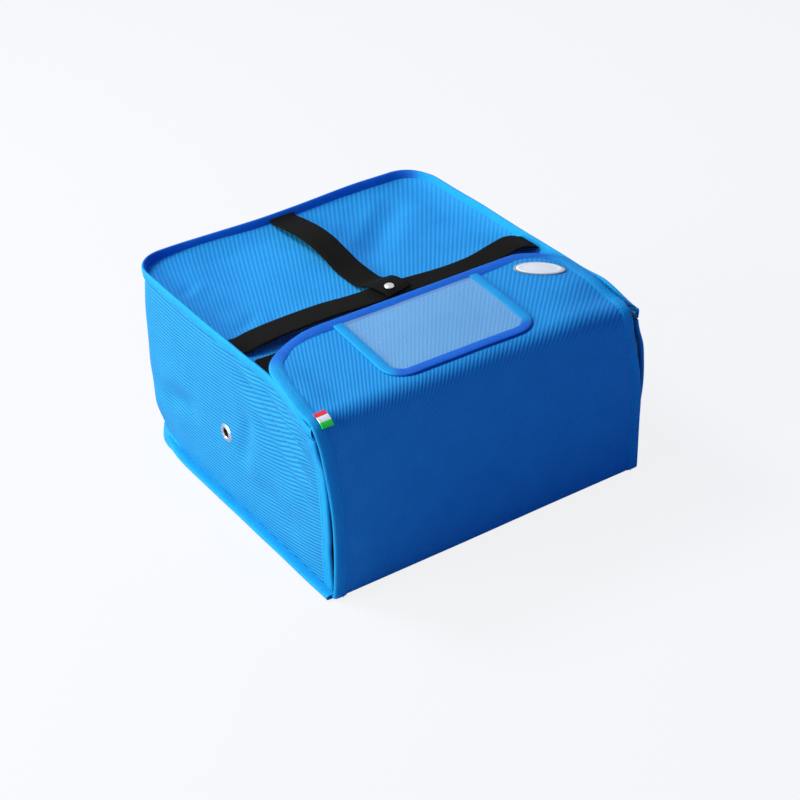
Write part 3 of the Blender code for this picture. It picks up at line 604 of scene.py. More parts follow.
@lru_cache(maxsize=None)
def ribbon_material():
    """Woven ribbon in three plain bands along its length."""
    ribbon = Finish("three_band_ribbon", (0.8, 0.8, 0.8), 0.5)
    apart = ribbon.tree.nodes.new("ShaderNodeSeparateXYZ")
    ribbon.join(ribbon.place, apart.inputs["Vector"])
    bands = ribbon.steps(apart.outputs["Y"], (0.0, (0.015, 0.80, 0.035)), (0.34, (0.92, 0.94, 0.92)),
                         (0.68, (0.72, 0.012, 0.040)))
    bands.node.color_ramp.interpolation = 'CONSTANT'
    ribbon.paint(bands)
    ribbon.emboss(ribbon.bands(0.05, 'Y'), 0.5, 0.0002)
    return ribbon.material


# Lines of the box

def from_front(run):
    """Run along the walls from the nearer of their two front edges."""
    return min(run, band_run - run)


def band_point(run, reach):
    """Point and outward direction on the walls' line, in plan."""
    if run > band_run / 2:
        point, out = band_point(band_run - run, reach)
        return Vector((-point.x, point.y, 0)), Vector((-out.x, out.y, 0))
    if run <= side_run:
        return Vector((-wall_half - reach, wall_front + run, 0)), Vector((-1, 0, 0))
    centre = Vector((corner_radius - wall_half, wall_back - corner_radius, 0))
    if run <= side_run + arc_run:
        angle = (run - side_run) / corner_radius
        out = Vector((-math.cos(angle), math.sin(angle), 0))
        return centre + out * (corner_radius + reach), out
    point = centre + Vector((run - side_run - arc_run, corner_radius + reach, 0))
    return point, Vector((0, 1, 0))


def seam_lean(run):
    """How steeply the top seam's tape stands."""
    keys = left_lean_keys if run < band_run / 2 else right_lean_keys
    return math.radians(through(keys, from_front(run)))


def seam_out(run):
    """How far the top seam has been pushed out, or pulled in where the rear strap is sewn on."""
    point, _ = band_point(run, 0.0)
    out = seam_front_spread * (1 - rising(run, 0.19, 0.14))
    rear = rising(point.y - wall_back, -0.020, 0.020)
    out += rear * seam_rear_push * rising(point.x, 0.020, 0.090)
    out -= rear * seam_strap_pull * mound(point.x + 0.024, 0.050)
    out -= seam_corner_pull * mound(run - side_run - arc_run / 2, 0.030)
    return front_flare(run, top_level) + out + 0.0007 * ripple((run, 0, 0), 0.07, 3.0)


def seam_rise(run):
    """How far the top seam rises or drops: its front ends sink under the lip."""
    near = from_front(run)
    sunk = left_seam_drop * (1 - smooth(near / left_drop_reach))
    if run > band_run / 2:
        sunk = right_seam_drop * (1 - smooth(near / right_drop_reach))
    rear = rising(near, side_run, arc_run) * rising(run / band_run, 0.48, 0.12)
    return 0.0005 + seam_rear_rise * rear + 0.0009 * ripple((run, 0.4, 0), 0.09, 5.0) - sunk


def front_flare(run, level):
    """How far the walls' front edges splay out, more towards the top."""
    if run > band_run / 2:
        return through(right_flare_keys, level) * (1 - smooth((band_run - run) / right_flare_reach))
    return through(left_flare_keys, level) * (1 - smooth(run / left_flare_reach))


# Creases of the walls: start and end in (y, level), width and depth
wall_creases = (
    ((-0.030, 0.172), (-0.150, 0.116), 0.0082, 0.0066),
    ((-0.074, 0.176), (-0.150, 0.144), 0.0066, 0.0048),
    ((-0.120, 0.180), (-0.164, 0.162), 0.0056, 0.0028),
    ((-0.046, 0.124), (-0.026, 0.064), 0.0110, 0.0030),
    ((0.130, 0.066), (0.062, 0.080), 0.0130, 0.0030),
    ((-0.052, 0.060), (-0.128, 0.040), 0.0150, 0.0022),
    ((-0.060, 0.136), (-0.150, 0.086), 0.0080, 0.0030),
)


def wall_reach(run, level):
    """How far the padded wall stands out from its straight line."""
    rise = swell(level - base_level, 0.020) * swell(top_level - level, 0.016)
    near = from_front(run)
    edge = swell(near - 0.010, 0.022)
    out = look().padding_bulge * rise * edge
    point, _ = band_point(run, 0.0)
    uneven = ripple((point.x, point.y, level), 0.075, 1.0)
    uneven += 0.35 * ripple((point.x, point.y, level), 0.026, 2.0)
    out += wall_unevenness * uneven * rise * edge
    free = rise * rising(near, 0.012, 0.022)
    y = near + wall_front
    if run < side_run:
        out -= min(sum(crease((y, level), *each) for each in wall_creases), crease_limit) * free
    elif near < side_run:
        y += right_crease_shift
        out -= right_crease_share * sum(crease((y, level), *each) for each in wall_creases[:4]) * free
    corner = mound(near - side_run - arc_run / 2, 0.050)
    out -= base_corner_tuck * corner * (1 - rising(level, 0.004, 0.038))
    return out + front_flare(run, level) * smooth((top_level + 0.02 - level) / 0.02)


def wall_line(run, level):
    """How far the wall's cloth stands out, drawn to the top seam in its last quarter."""
    share = (level - wall_low) / wall_height
    pull = (seam_out(run) - front_flare(run, level)) * rising(share, 0.75, 0.25)
    return wall_reach(run, level) + pull


def pinched(depth, near, least):
    """Depth of the padding at a distance in from an edge that a tape grips."""
    return least + (depth - least) * rising(near, grip_reach, grip_reach)


def wall_outer(u, v):
    run = band_run * u
    rise = (wall_height + tuck) * v
    if rise <= wall_height:
        level = wall_low + rise
        point, _ = band_point(run, wall_line(run, level))
        return Vector((point.x, point.y, level + seam_rise(run) * (rise / wall_height) ** 4))
    lean = seam_lean(run)
    turn = rise - wall_height
    point, _ = band_point(run, seam_out(run) + turn * math.cos(lean))
    return Vector((point.x, point.y, top_level + seam_rise(run) + turn * math.sin(lean)))


def wall_inner(u, v):
    run = band_run * u
    level = wall_low + (wall_height - 0.0012) * v
    depth = pinched(padding, from_front(run), pinch)
    depth = min(depth, max(0.0016, (top_level - level) * 4 + pinch))
    point, _ = band_point(run, front_flare(run, level) - depth)
    return Vector((point.x, point.y, level))


def wall_flat(u, v):
    """Place on the cut cloth, whose ribs climb a little towards both front edges."""
    run = band_run * u
    along = min(from_front(run) + wall_front, 0.15)
    climb = 0.0908 * along - 0.548 * along ** 2
    return wall_rib_scale * run, wall_rib_scale * ((wall_height + tuck) * v + climb)


def fan(x, y, scale):
    """Place on cut cloth whose ribs spread from the rib centre."""
    aside = x - rib_centre[0]
    ahead = y - rib_centre[1]
    return scale * math.atan2(aside, ahead), math.hypot(aside, ahead)


# Dents of the top: middle in plan, size and depth
top_dents = (
    ((0.056, 0.104), 0.034, 0.0048),
    ((0.072, 0.152), 0.026, 0.0022),
    ((-0.085, 0.128), 0.052, 0.0032),
    ((-0.128, 0.062), 0.022, 0.0026),
    ((-0.105, 0.020), 0.030, 0.0018),
    ((0.118, 0.062), 0.040, 0.0026),
    ((0.030, 0.058), 0.022, 0.0030),
)

# Creases of the top: start and end in plan, width and depth
top_creases = (
    ((-0.166, 0.098), (-0.140, 0.122), 0.0055, 0.0020),
    ((0.124, 0.146), (0.036, 0.069), 0.0170, 0.0044),
    ((-0.150, 0.010), (-0.118, 0.034), 0.0065, 0.0016),
)


def corner_sink(x, y):
    """How far the right front corner of the top has sunk."""
    return top_corner_sink * rising(x, 0.110, 0.060) * (1 - rising(y, -0.168, 0.050))


def top_height(x, y):
    """Level of the top's cloth: it sags between its seams and under the straps' pull."""
    inside = min(wall_half - abs(x), wall_back - y)
    corner_x = abs(x) - (wall_half - corner_radius)
    corner_y = y - (wall_back - corner_radius)
    if corner_x > 0 and corner_y > 0:
        inside = corner_radius - math.hypot(corner_x, corner_y)
    room = smooth(inside / 0.030) * rising(y - strap_y, 0.012, 0.035)
    sag = sum(depth * math.exp(-((x - place[0]) ** 2 + (y - place[1]) ** 2) / size ** 2)
              for place, size, depth in top_dents)
    sag += 0.0011 * (1 + ripple((x, y, 0), 0.060, 7.0)) * 0.9
    sag += 0.0006 * (1 + ripple((x, y, 0), 0.022, 8.0)) * 0.5
    sag += sum(max(crease((x, y), *each), -0.0012) for each in top_creases)
    turned_up = top_turn_up * math.exp(-max(inside, 0.0) / 0.0065) * rising(y, top_front, 0.03)
    return top_level - sag * room + turned_up - corner_sink(x, y)


def top_half(y, reach):
    """Half width of the top at a place along it, with its rounded rear corners."""
    return rounded_half(wall_half + reach, corner_radius + reach, y - (wall_back - corner_radius))


def rounded_half(half, radius, over):
    """Half width at a distance past the start of the rounded rear corners."""
    if over > 0:
        half += math.sqrt(max(radius ** 2 - over ** 2, 0.0)) - radius
    return half


def top_rows(v, low, high):
    """Rows along the top, closer together round the corners."""
    bend = high - corner_radius
    share = 0.84
    if v <= share:
        return low + (bend - low) * v / share
    return bend + corner_radius * math.sin((v - share) / (1 - share) * math.pi / 2 * 0.97)


def top_outer(u, v):
    y = top_rows(v, top_front, wall_back + 0.0005)
    x = (2 * u - 1) * top_half(y, 0.0005)
    return Vector((x, y, top_height(x, y)))


def top_inner(u, v):
    y = top_rows(v, top_front, wall_back - 0.0015)
    x = (2 * u - 1) * top_half(y, -0.0015)
    depth = min(pinched(padding, y - top_front, pinch),
                pinch + (padding - pinch) * smooth((wall_half - abs(x)) / 0.010))
    return Vector((x, y, top_height(x, y) - depth))


def top_flat(u, v):
    y = top_rows(v, top_front, wall_back)
    return fan((2 * u - 1) * top_half(y, 0.0), y, top_rib_scale)


# The folded panel

def panel_line(run):
    """Point and outward direction of the folded panel at a run from the base, in (y, z)."""
    flat_run = base_overlap
    low_arc = math.pi / 2 * base_fold_radius
    rise = fold_z - base_fold_radius
    high_arc = math.pi / 2 * lip_fold_radius
    if run <= flat_run:
        return (front_y + base_fold_radius + flat_run - run, 0.0), (0.0, -1.0)
    run -= flat_run
    if run <= low_arc:
        angle = run / base_fold_radius
        out = (-math.sin(angle), -math.cos(angle))
        return (front_y + base_fold_radius * (1 + out[0]), base_fold_radius * (1 + out[1])), out
    run -= low_arc
    if run <= rise:
        return (front_y, base_fold_radius + run), (-1.0, 0.0)
    run -= rise
    if run <= high_arc:
        angle = run / lip_fold_radius
        out = (-math.cos(angle), math.sin(angle))
        return (fold_y + lip_fold_radius * out[0], fold_z + lip_fold_radius * out[1]), out
    return (fold_y + run - high_arc, lip_level), (0.0, 1.0)


fold_start_run = base_overlap + math.pi / 2 * base_fold_radius
split_run = fold_start_run + panel_split_z - base_fold_radius
fold_end_run = fold_start_run + fold_z - base_fold_radius + math.pi / 2 * lip_fold_radius
lip_run = lip_edge_y - fold_y
panel_run = fold_end_run + lip_run
ribbon_run = fold_end_run - 0.0105


def panel_half(run, side):
    """Half width of the folded panel, on the left if side is under 0. It rounds off at the lip's end."""
    rise = run - fold_start_run + base_fold_radius
    half = through(left_half_keys if side < 0 else right_half_keys, rise)
    wide, long = left_corner if side < 0 else right_corner
    left_over = panel_run - run
    if left_over < long:
        share = 1 - left_over / long
        half -= wide * (1 - math.sqrt(max(1 - share * share, 0.0)))
    return half


def lip_stretch(x):
    """The lip's free edge lies further back on its right."""
    return 1 + (lip_edge_shift + lip_edge_slope * x) / lip_run


def lip_lift(x, run):
    """How far the lip rides up over the upright seam tape on its left and curls at its free edge."""
    along = run - fold_end_run
    over_rim = rising(abs(x), 0.140, 0.036) * smooth(along / 0.030)
    over_rim *= 1 - 0.55 * rising(along, 0.070, 0.045)
    curl = lip_curl[1] * max(1 - (panel_run - run) / lip_curl[0], 0.0) ** 2
    return (left_lip_ride if x < 0 else -right_lip_drop) * over_rim + curl


def settled(x, y, z, run):
    """Level of a point of the panel with the lip's lift and the sagging right end of its fold."""
    sag = fold_end_sag * rising(x, 0.095, 0.080) * rising(z, 0.150, 0.040)
    sag *= 1 - rising(y, -0.160, 0.040)
    return z - sag + (lip_lift(x, run) if run > fold_end_run else 0.0)


def panel_face(run):
    """Outward direction of the folded panel, tipped forwards where the lip's edge curls up."""
    out = panel_line(run)[1]
    share = max(1 - (panel_run - run) / lip_curl[0], 0.0)
    return Vector((0, out[0] - 0.25 * share, out[1])).normalized()


def panel_edge(x, run):
    """How far a place on the panel lies from its bound edge."""
    edge = panel_half(run, x) - abs(x)
    if run > fold_end_run:
        edge = min(edge, panel_run - run + 0.35 * max(abs(x) - 0.09, 0.0))
    return max(edge, 0.0)


def panel_bulge(x, run, edge):
    """How far the panel's padding stands out from its line."""
    fold_near = 1.0
    if run < fold_start_run + 0.05:
        fold_near = swell(run - fold_start_run - 0.002, 0.014)
    soft = rising(run - split_run, -0.03, 0.05)
    crown = look().padding_bulge * (1 - 0.55 * soft)
    uneven = ripple((x, run, 0.0), 0.085, 11.0) + 0.3 * ripple((x, run, 0.0), 0.030, 12.0)
    out = (crown + 0.0011 * uneven) * swell(edge - 0.010, 0.014) * fold_near
    return max(out, 0.0)


def panel_point(share, run, depth, inset=0.0):
    """A point of the folded panel: share is -1 to 1 across it and depth is into the padding."""
    x = share * (panel_half(run, share) - inset)
    (y, z), out = panel_line(run)
    bulge = panel_bulge(x, run, panel_edge(x, run))
    if run > fold_end_run:
        y = fold_y + (y - fold_y) * lip_stretch(x)
    y += out[0] * (bulge - depth)
    z += out[1] * (bulge - depth)
    foot = (1 - rising(z, 0.015, 0.060)) * (1 - rising(x, -0.05, 0.15)) * smooth(z / 0.004)
    y -= foot_push * foot
    return Vector((x, y, settled(x, y, z, run)))


def panel_at(x, run, height):
    """A point at a height over the folded panel's cloth."""
    return panel_point(x / panel_half(run, x), run, cloth_inset - height)


def lip_at(x, y, height):
    """A point over the lip, from its place in plan."""
    return panel_at(x, fold_end_run + (y - fold_y) / lip_stretch(x), height)


def panel_depth(edge, run):
    """Thickness of the padding, pinched where its edge is bound and at the base fold."""
    fold = base_overlap + math.pi / 4 * base_fold_radius
    room = rising(edge, 0.010, 0.014) * rising(abs(run - fold), 0.004, 0.010)
    return panel_pinch + (padding - panel_pinch) * room


def add_panel(name, low_run, high_run):
    """The outside cloth and padding of the folded panel between two runs."""
    def to_run(v):
        return low_run + (high_run - low_run) * v

    def outer(u, v):
        return panel_point(2 * u - 1, to_run(v), cloth_inset, panel_inset)

    def inner(u, v):
        share, run = 2 * u - 1, to_run(v)
        edge = panel_edge(share * panel_half(run, share), run)
        return panel_point(share, run, panel_depth(edge, run), panel_inset)

    def flat(u, v):
        share = 2 * u - 1
        y = fold_y + to_run(v) - fold_end_run
        return fan(share * panel_half(to_run(v), share), y, panel_rib_scale)

    return lay_pad(name, 78, max(4, int((high_run - low_run) / mesh_step)), outer, inner, flat)


def add_panel_lining(name, low_run, high_run, body, nodes):
    """The lining on the inside of the folded panel between two runs."""
    def place(u, v, extra):
        share = 2 * u - 1
        run = low_run + (high_run - low_run) * v
        half = panel_half(run, share)
        near = half * (1 - abs(share))
        if run > fold_end_run:
            near = min(near, panel_run - run)
        depth = panel_depth(max(near, 0.0), run) + 0.00015 + extra
        uneven = 0.0005 * (1 + ripple((share * half, run, 0.3), 0.045, 15.0))
        (y, z), out = panel_line(run)
        if run > fold_end_run:
            y = fold_y + (y - fold_y) * lip_stretch(share * half)
        reach = depth + uneven * swell(near - grip_reach, 0.02)
        x = share * (half - panel_lining_inset)
        y -= out[0] * reach
        return Vector((x, y, settled(x, y, z - out[1] * reach, run)))

    return lay_lining(name, lining_cells, max(4, int((high_run - low_run) / mesh_step)), place,
                      lambda u, v: ((2 * u - 1) * bag_half, low_run + (high_run - low_run) * v),
                      nodes, body)


# Tapes

def tape_section(width, half):
    """Section of folded tape as (inset from its crest, height off its middle)."""
    upper = [(0.0034, half - tape_sheet), (width, half - tape_sheet),
             (width + 0.0001, half - 0.0002), (width - 0.0006, half),
             (width * 0.55, half + 0.0002), (0.0022, half), (0.0007, half * 0.72),
             (0.0, half * 0.25)]
    whole = upper + [(inset, -height) for inset, height in upper[::-1]]
    return whole[1:] + whole[:1]


def loft(name, stations, section):
    """Closed section of (first, second) offsets carried along (origin, first, second) stations."""
    count = len(section)
    last = len(stations) - 1
    lengths = [0.0]
    for near, far in zip(stations, stations[1:]):
        lengths.append(lengths[-1] + (far[0] - near[0]).length)
    girth = [0.0]
    for k in range(count):
        girth.append(girth[-1] + math.dist(section[k], section[(k + 1) % count]))

    def place(u, v):
        origin, first, second = stations[round(u * last)]
        across, over = section[round(v * count) % count]
        return origin + first * across + second * over

    item = lay_grid(name, last, count, place,
                    lambda u, v: (lengths[round(u * last)], girth[round(v * count)]))
    return close_up(item, 50.0)


def add_tape(name, stations, body, nodes, width=tape_width, half=edge_half):
    """Folded tape along stations of (crest point, inward direction, face direction).

    Its painted sheen falls from 1 to 0 as the tape turns from front to back or upright to across the bag,
    and its finish paints it a deeper tone there: painted shade.
    """
    item = loft(name, stations, tape_section(width, half))
    last = len(stations) - 1
    painted_sheen_tones = []
    for k in range(last + 1):
        tangent = (stations[min(k + 1, last)][0] - stations[max(k - 1, 0)][0]).normalized()
        # Painted sheen: 1 where the tape runs front to back or upright, falling to 0 where it runs across
        # the bag.
        painted_sheen_tones.append(1 - rising(abs(tangent.x), 0.35, 0.50))
    painted_sheen = item.data.attributes.new("painted_sheen", 'FLOAT', 'POINT')
    shares = item.data.attributes["share_u"].data
    painted_sheen.data.foreach_set("value", [painted_sheen_tones[round(share.value * last)] for share in shares])
    return finish(item, tape_material(), body, nodes)


def strap_section(width, sheet):
    """Rounded flat section of webbing, its underside on the line that carries it."""
    reach = width / 2
    round_off = sheet * 0.3
    right = [(reach - round_off, sheet), (reach, sheet - round_off), (reach, round_off),
             (reach - round_off, 0.0)]
    between = spread(-reach, reach, 8)[1:-1]
    return (right + [(x, 0.0) for x in between[::-1]] + [(-x, y) for x, y in right[::-1]]
            + [(x, sheet) for x in between])


def through(keys, place):
    """Smooth value through (place, value) keys."""
    if place <= keys[0][0]:
        return keys[0][1]
    for k in range(len(keys) - 1):
        (low, first), (high, second) = keys[k], keys[k + 1]
        if place <= high:
            before = keys[max(k - 1, 0)]
            after = keys[min(k + 2, len(keys) - 1)]
            span = high - low
            rise_low = (second - before[1]) / (high - before[0]) * span
            rise_high = (after[1] - first) / (after[0] - low) * span
            t = (place - low) / span
            return ((2 * t ** 3 - 3 * t ** 2 + 1) * first + (t ** 3 - 2 * t ** 2 + t) * rise_low
                    + (3 * t ** 2 - 2 * t ** 3) * second + (t ** 3 - t ** 2) * rise_high)
    return keys[-1][1]


def edge_frames(line, faces):
    """Stations for tape along a line of crest points: inward lies to the right of travel."""
    stations = []
    for k, (point, face) in enumerate(zip(line, faces)):
        tangent = (line[min(k + 1, len(line) - 1)] - line[max(k - 1, 0)]).normalized()
        inward = tangent.cross(face).normalized()
        stations.append((point, inward, inward.cross(tangent).normalized()))
    return stations


def sew(name, rows, body, thread, length=stitch_length, radius=thread_radius):
    """Rows of short stitches. Each row is a list of (origin, along, over) places."""
    deselect()
    bpy.ops.mesh.primitive_uv_sphere_add(segments=6, ring_count=4, radius=1.0)
    pattern = bpy.context.object
    corners = [vert.co.copy() for vert in pattern.data.vertices]
    faces = [tuple(face.vertices) for face in pattern.data.polygons]
    bpy.ops.object.delete()
    verts, polygons = [], []
    for row in rows:
        for origin, along, over in row:
            aside = over.cross(along).normalized()
            start = len(verts)
            verts += [origin + along * (corner.z * length / 2) + aside * (corner.x * radius)
                      + over * (corner.y * radius) for corner in corners]
            polygons += [tuple(start + index for index in face) for face in faces]
    mesh = bpy.data.meshes.new(name)
    mesh.from_pydata([tuple(vert) for vert in verts], [], polygons)
    item = bpy.data.objects.new(name, mesh)
    bpy.context.scene.collection.objects.link(item)
    activate(item)
    bpy.ops.object.mode_set(mode='EDIT')
    bpy.ops.mesh.select_all(action='SELECT')
    bpy.ops.mesh.normals_make_consistent(inside=False)
    bpy.ops.object.mode_set(mode='OBJECT')
    bpy.ops.object.shade_smooth()
    return finish(item, thread, body)


def seam_rows(stations, inset, height):
    """Places of the stitches along both faces of a tape, at an inset from its crest."""
    rows = [[], []]
    gap = 0.0
    for (near, near_in, near_face), (far, far_in, far_face) in zip(stations, stations[1:]):
        start = near + near_in * inset
        step = far + far_in * inset - start
        length = step.length
        if length < 1e-7:
            continue
        along = step / length
        while gap < length:
            share = gap / length
            face = near_face.lerp(far_face, share).normalized()
            origin = start + step * share
            rows[0].append((origin + face * height, along, face))
            rows[1].append((origin - face * height, along, -face))
            gap += stitch_pitch
        gap -= length
    return rows


def rim_stations():
    """Crest line of the tape that stands on the seam between walls and top."""
    stations = []
    for run in steps_between(0.0, band_run):
        lean = seam_lean(run) + 0.05 * ripple((run, 0, 0), 0.05, 21.0)
        point, out = band_point(run, seam_out(run))
        point.z = top_level + seam_rise(run)
        upward = out * math.cos(lean) + Vector((0, 0, math.sin(lean)))
        face = out * math.sin(lean) - Vector((0, 0, math.cos(lean)))
        stations.append((point + upward * rim_width, -upward, face))
    return stations


def flange_stations():
    """Crest line of the tape that lies round the base."""
    stations = []
    reach = bag_half - wall_half
    for run in steps_between(-flange_ahead, band_run + flange_ahead):
        corner = from_front(run) - side_run - arc_run / 2
        tucked = base_tape_tuck * mound(corner, 0.046) - 0.0008
        point, out = band_point(run, reach - tucked + 0.0006 * ripple((run, 0, 0), 0.06, 23.0))
        point.z = edge_half + 0.0003
        stations.append((point, -out, Vector((0, 0, -1))))
    return stations


def panel_edge_station(share, run):
    """Crest, inward and face directions of the tape on the folded panel's edge."""
    step = 0.0006
    edge = panel_point(share, run, edge_half)
    face = panel_face(run)
    near = panel_point(share, run - step, edge_half)
    far = panel_point(share, run + step, edge_half)
    tangent = (far - near).normalized()
    inward = tangent.cross(face) * (1 if share < 0 else -1)
    if inward.x * share > 0:
        inward = -inward
    face = (face - inward * face.dot(inward)).normalized()
    return edge, inward.normalized(), face


def side_tape_stations(side, low_run):
    """Stations of the tape up one side of the front."""
    return [panel_edge_station(side, run) for run in steps_between(low_run, split_run)]


def lip_side(side, corner, turns):
    """Places, as (side, run), along one side of the lip and round its corner."""
    straight = panel_run - corner[1]
    bend = [straight + corner[1] * math.sin(math.pi / 2 * k / turns) for k in range(1, turns + 1)]
    return [(side, run) for run in steps_between(split_run, straight) + bend]


def lip_edge_stations():
    """Round the lip: up the left edge, round both corners and down the right edge."""
    left = lip_side(-1, left_corner, 14)
    right = lip_side(1, right_corner, 12)[::-1]
    left_line, right_line = ([panel_point(side, run, edge_half) for side, run in places]
                             for places in (left, right))
    low, high = left_line[-1].x, right_line[0].x
    (_, level), _ = panel_line(panel_run)
    middle = [Vector((x, fold_y + lip_run * lip_stretch(x), level - edge_half + lip_lift(x, panel_run)))
              for x in steps_between(low, high)[1:-1]]
    faces = [panel_face(run) for _, run in left + [(0, panel_run)] * len(middle) + right]
    return edge_frames(left_line + middle + right_line, faces)


# The stage

class BAG_OT_stage(bpy.types.Operator):
    """Pale floor, soft lamps and the photograph's camera"""
    bl_idname = "bag.stage"
    bl_label = "Stage"

    def execute(self, context):
        add_floor()
        add_world(context.scene)
        add_lamps()
        add_camera(context.scene)
        return {'FINISHED'}


floor_size = 12.0
floor_level = -0.0002
floor_white_share = 0.86
camera_turn = math.radians(-33.1235)
camera_tilt = math.radians(32.6206)
camera_roll = math.radians(-1.918)
camera_distance = 5.4873
camera_aside = (0.0514, 0.1272)
image_pixels = 800
lens_pixels = 1948.0
sensor = 0.036


def add_camera(scene):
    data = bpy.data.cameras.new("photo_camera")
    camera = bpy.data.objects.new("photo_camera", data)
    scene.collection.objects.link(camera)
    data.sensor_width = sensor * 1000
    data.lens = lens_pixels / image_pixels * data.sensor_width
    back = Vector((math.sin(camera_turn) * math.cos(camera_tilt),
                   -math.cos(camera_turn) * math.cos(camera_tilt), math.sin(camera_tilt)))
    right = Vector((0, 0, 1)).cross(back).normalized()
    up = back.cross(right)
    side = right * math.cos(camera_roll) + up * math.sin(camera_roll)
    rise = up * math.cos(camera_roll) - right * math.sin(camera_roll)
    width = 2 * bag_half
    place = (side * camera_aside[0] + rise * camera_aside[1] + back * camera_distance) * width
    camera.matrix_world = Matrix.Translation(place) @ Matrix((side, rise, back)).transposed().to_4x4()
    data.clip_end = 50.0
    scene.camera = camera


def mix_white(tree, share, soft, white_shader, target):
    """Mix white into a shader by a share."""
    mixed = tree.nodes.new("ShaderNodeMixShader")
    for source, socket in ((share, mixed.inputs["Fac"]), (soft, mixed.inputs[1]),
                           (white_shader, mixed.inputs[2]), (mixed.outputs["Shader"], target)):
        tree.links.new(source, socket)


def ray_share(tree, operation, *kinds):
    """A node that works with the kinds of ray by which a surface is seen."""
    seen = tree.nodes.new("ShaderNodeLightPath")
    share = tree.nodes.new("ShaderNodeMath")
    share.operation = operation
    for kind, socket in zip(kinds, share.inputs):
        tree.links.new(seen.outputs[kind], socket)
    return share


def add_floor():
    """A pale floor that shows the camera white and still takes a faint shadow."""
    deselect()
    bpy.ops.mesh.primitive_plane_add(size=floor_size, location=(0, 0, floor_level))
    floor = bpy.context.object
    floor.name = "floor"
    material = bpy.data.materials.new("pale_floor")
    material.use_nodes = True
    tree = material.node_tree
    shader = tree.nodes["Principled BSDF"]
    set_sockets(shader, {"Base Color": (0.42, 0.47, 0.62, 1), "Roughness": 0.9,
                         "Specular IOR Level": 0.1})
    white_light = add_node(tree, "ShaderNodeEmission", Color=(1, 1, 1, 1), Strength=1.0)
    share = ray_share(tree, 'MULTIPLY', "Is Camera Ray")
    share.inputs[1].default_value = floor_white_share
    mix_white(tree, share.outputs["Value"], shader.outputs["BSDF"], white_light.outputs["Emission"],
              tree.nodes["Material Output"].inputs["Surface"])
    coat(floor, material)


def add_world(scene):
    """Soft blue light from all round, behind a white background."""
    world = bpy.data.worlds.new("pale_room")
    scene.world = world
    world.use_nodes = True
    tree = world.node_tree
    soft = tree.nodes["Background"]
    set_sockets(soft, {"Color": (0.20, 0.38, 1.0, 1), "Strength": look().room_light})
    backdrop = add_node(tree, "ShaderNodeBackground", Color=(1, 1, 1, 1), Strength=1.0)
    share = ray_share(tree, 'MAXIMUM', "Is Camera Ray", "Is Glossy Ray")
    mix_white(tree, share.outputs["Value"], soft.outputs["Background"], backdrop.outputs["Background"],
              tree.nodes["World Output"].inputs["Surface"])
    scene.view_settings.view_transform = 'Standard'


def add_lamps():
    """A large lamp on the left, and a softer one above and behind."""
    for name, place, size, power, tint in (
            ("side_lamp", (-2.3, 0.35, 0.85), 1.5, look().side_power, (1.0, 1.0, 0.68)),
            ("upper_lamp", (-0.9, 1.3, 2.0), 0.9, look().upper_power, (1.0, 1.0, 0.92))):
        data = bpy.data.lights.new(name, 'AREA')
        data.shape = 'DISK'
        data.size = size
        data.energy = power
        data.color = tint
        lamp = bpy.data.objects.new(name, data)
        bpy.context.scene.collection.objects.link(lamp)
        lamp.location = place
        lamp.rotation_mode = 'QUATERNION'
        lamp.rotation_quaternion = (Vector((0, 0, 0.1)) - Vector(place)).to_track_quat('-Z', 'Y')


# Operators, one for each piece or group of like pieces

class BAG_OT_walls(bpy.types.Operator):
    """Padded wall band with its creases, its lining and the tapes on its front edges"""
    bl_idname = "bag.walls"
    bl_label = "Walls"

    def execute(self, context):
        cloth = cloth_material("ribbed_side_cloth", -90.0, 0.58)
        columns = int(band_run / wall_step)
        walls = lay_pad("wall_padding", columns, int(wall_height / wall_step), wall_outer, wall_inner,
                        wall_flat, 70.0)
        vents = [(eyelet_low + eyelet_high) / 2]
        vents.append(Vector((-vents[0].x, vents[0].y, vents[0].z)))
        pierce(walls, vents)
        finish(walls, cloth, "shell",
               [part + "_wall_" + layer for part in ("left", "back", "right")
                for layer in ("cloth", "foam")])
        lining = lay_lining("wall_lining", columns, 30, wall_lining_point, wall_flat,
                            [part + "_wall_lining" for part in ("left", "back", "right")], vents=vents)
        for side, name in sides:
            add_tape(name + "_wall_edge_tape", wall_edge_stations(side), "shell",
                     [name + "_wall_binding"])
        return {'FINISHED'}


def wall_lining_point(u, v, extra):
    run = lining_end + (band_run - 2 * lining_end) * u
    level = base_lining_low.z + (wall_lining_high - base_lining_low.z) * v
    point, _ = band_point(run, front_flare(run, level) - wall_lining_depth(run, level) - extra)
    return Vector((point.x, point.y, level))


def wall_lining_depth(run, level):
    """How far the wall's lining lies behind its cloth's straight line."""
    base = pinched(padding + lining_gap, from_front(run), lining_pinch)
    return base + 0.0004 * (1 + ripple((run, level, 0.7), 0.05, 31.0)) * swell(run, 0.03)


def wall_edge_stations(side):
    """Crest line of the tape on a wall's free front edge."""
    stations = []
    run = 0.0 if side < 0 else band_run
    for level in spread(base_level, top_level + seam_rise(run) - 0.0022, 36):
        point, _ = band_point(run, wall_line(run, level) - edge_half + wall_edge_out)
        bow = wall_edge_bow * rising(level, 0.045, 0.025) * (1 - rising(level, 0.135, 0.025))
        ahead = bow + wall_edge_ahead
        stations.append((Vector((point.x, wall_front - ahead, level)), Vector((0, 1, 0)),
                         Vector((side, 0, 0))))
    return stations


class BAG_OT_top(bpy.types.Operator):
    """Padded top that sags between its seams, its lining and its bound front edge"""
    bl_idname = "bag.top"
    bl_label = "Top"

    def execute(self, context):
        cloth = cloth_material("ribbed_top_cloth", 0.0)
        columns = int(2 * wall_half / mesh_step)
        top = lay_pad("top_padding", columns, 88, top_outer, top_inner, top_flat)
        finish(top, cloth, "shell", ["top_cloth", "top_foam"])
        lining = lay_lining("top_lining_cloth", lining_cells, lining_cells, top_lining_point,
                            top_flat, ["top_lining"])
        add_tape("top_front_edge_tape", top_edge_stations(), "shell", ["top_edge_binding"])
        return {'FINISHED'}


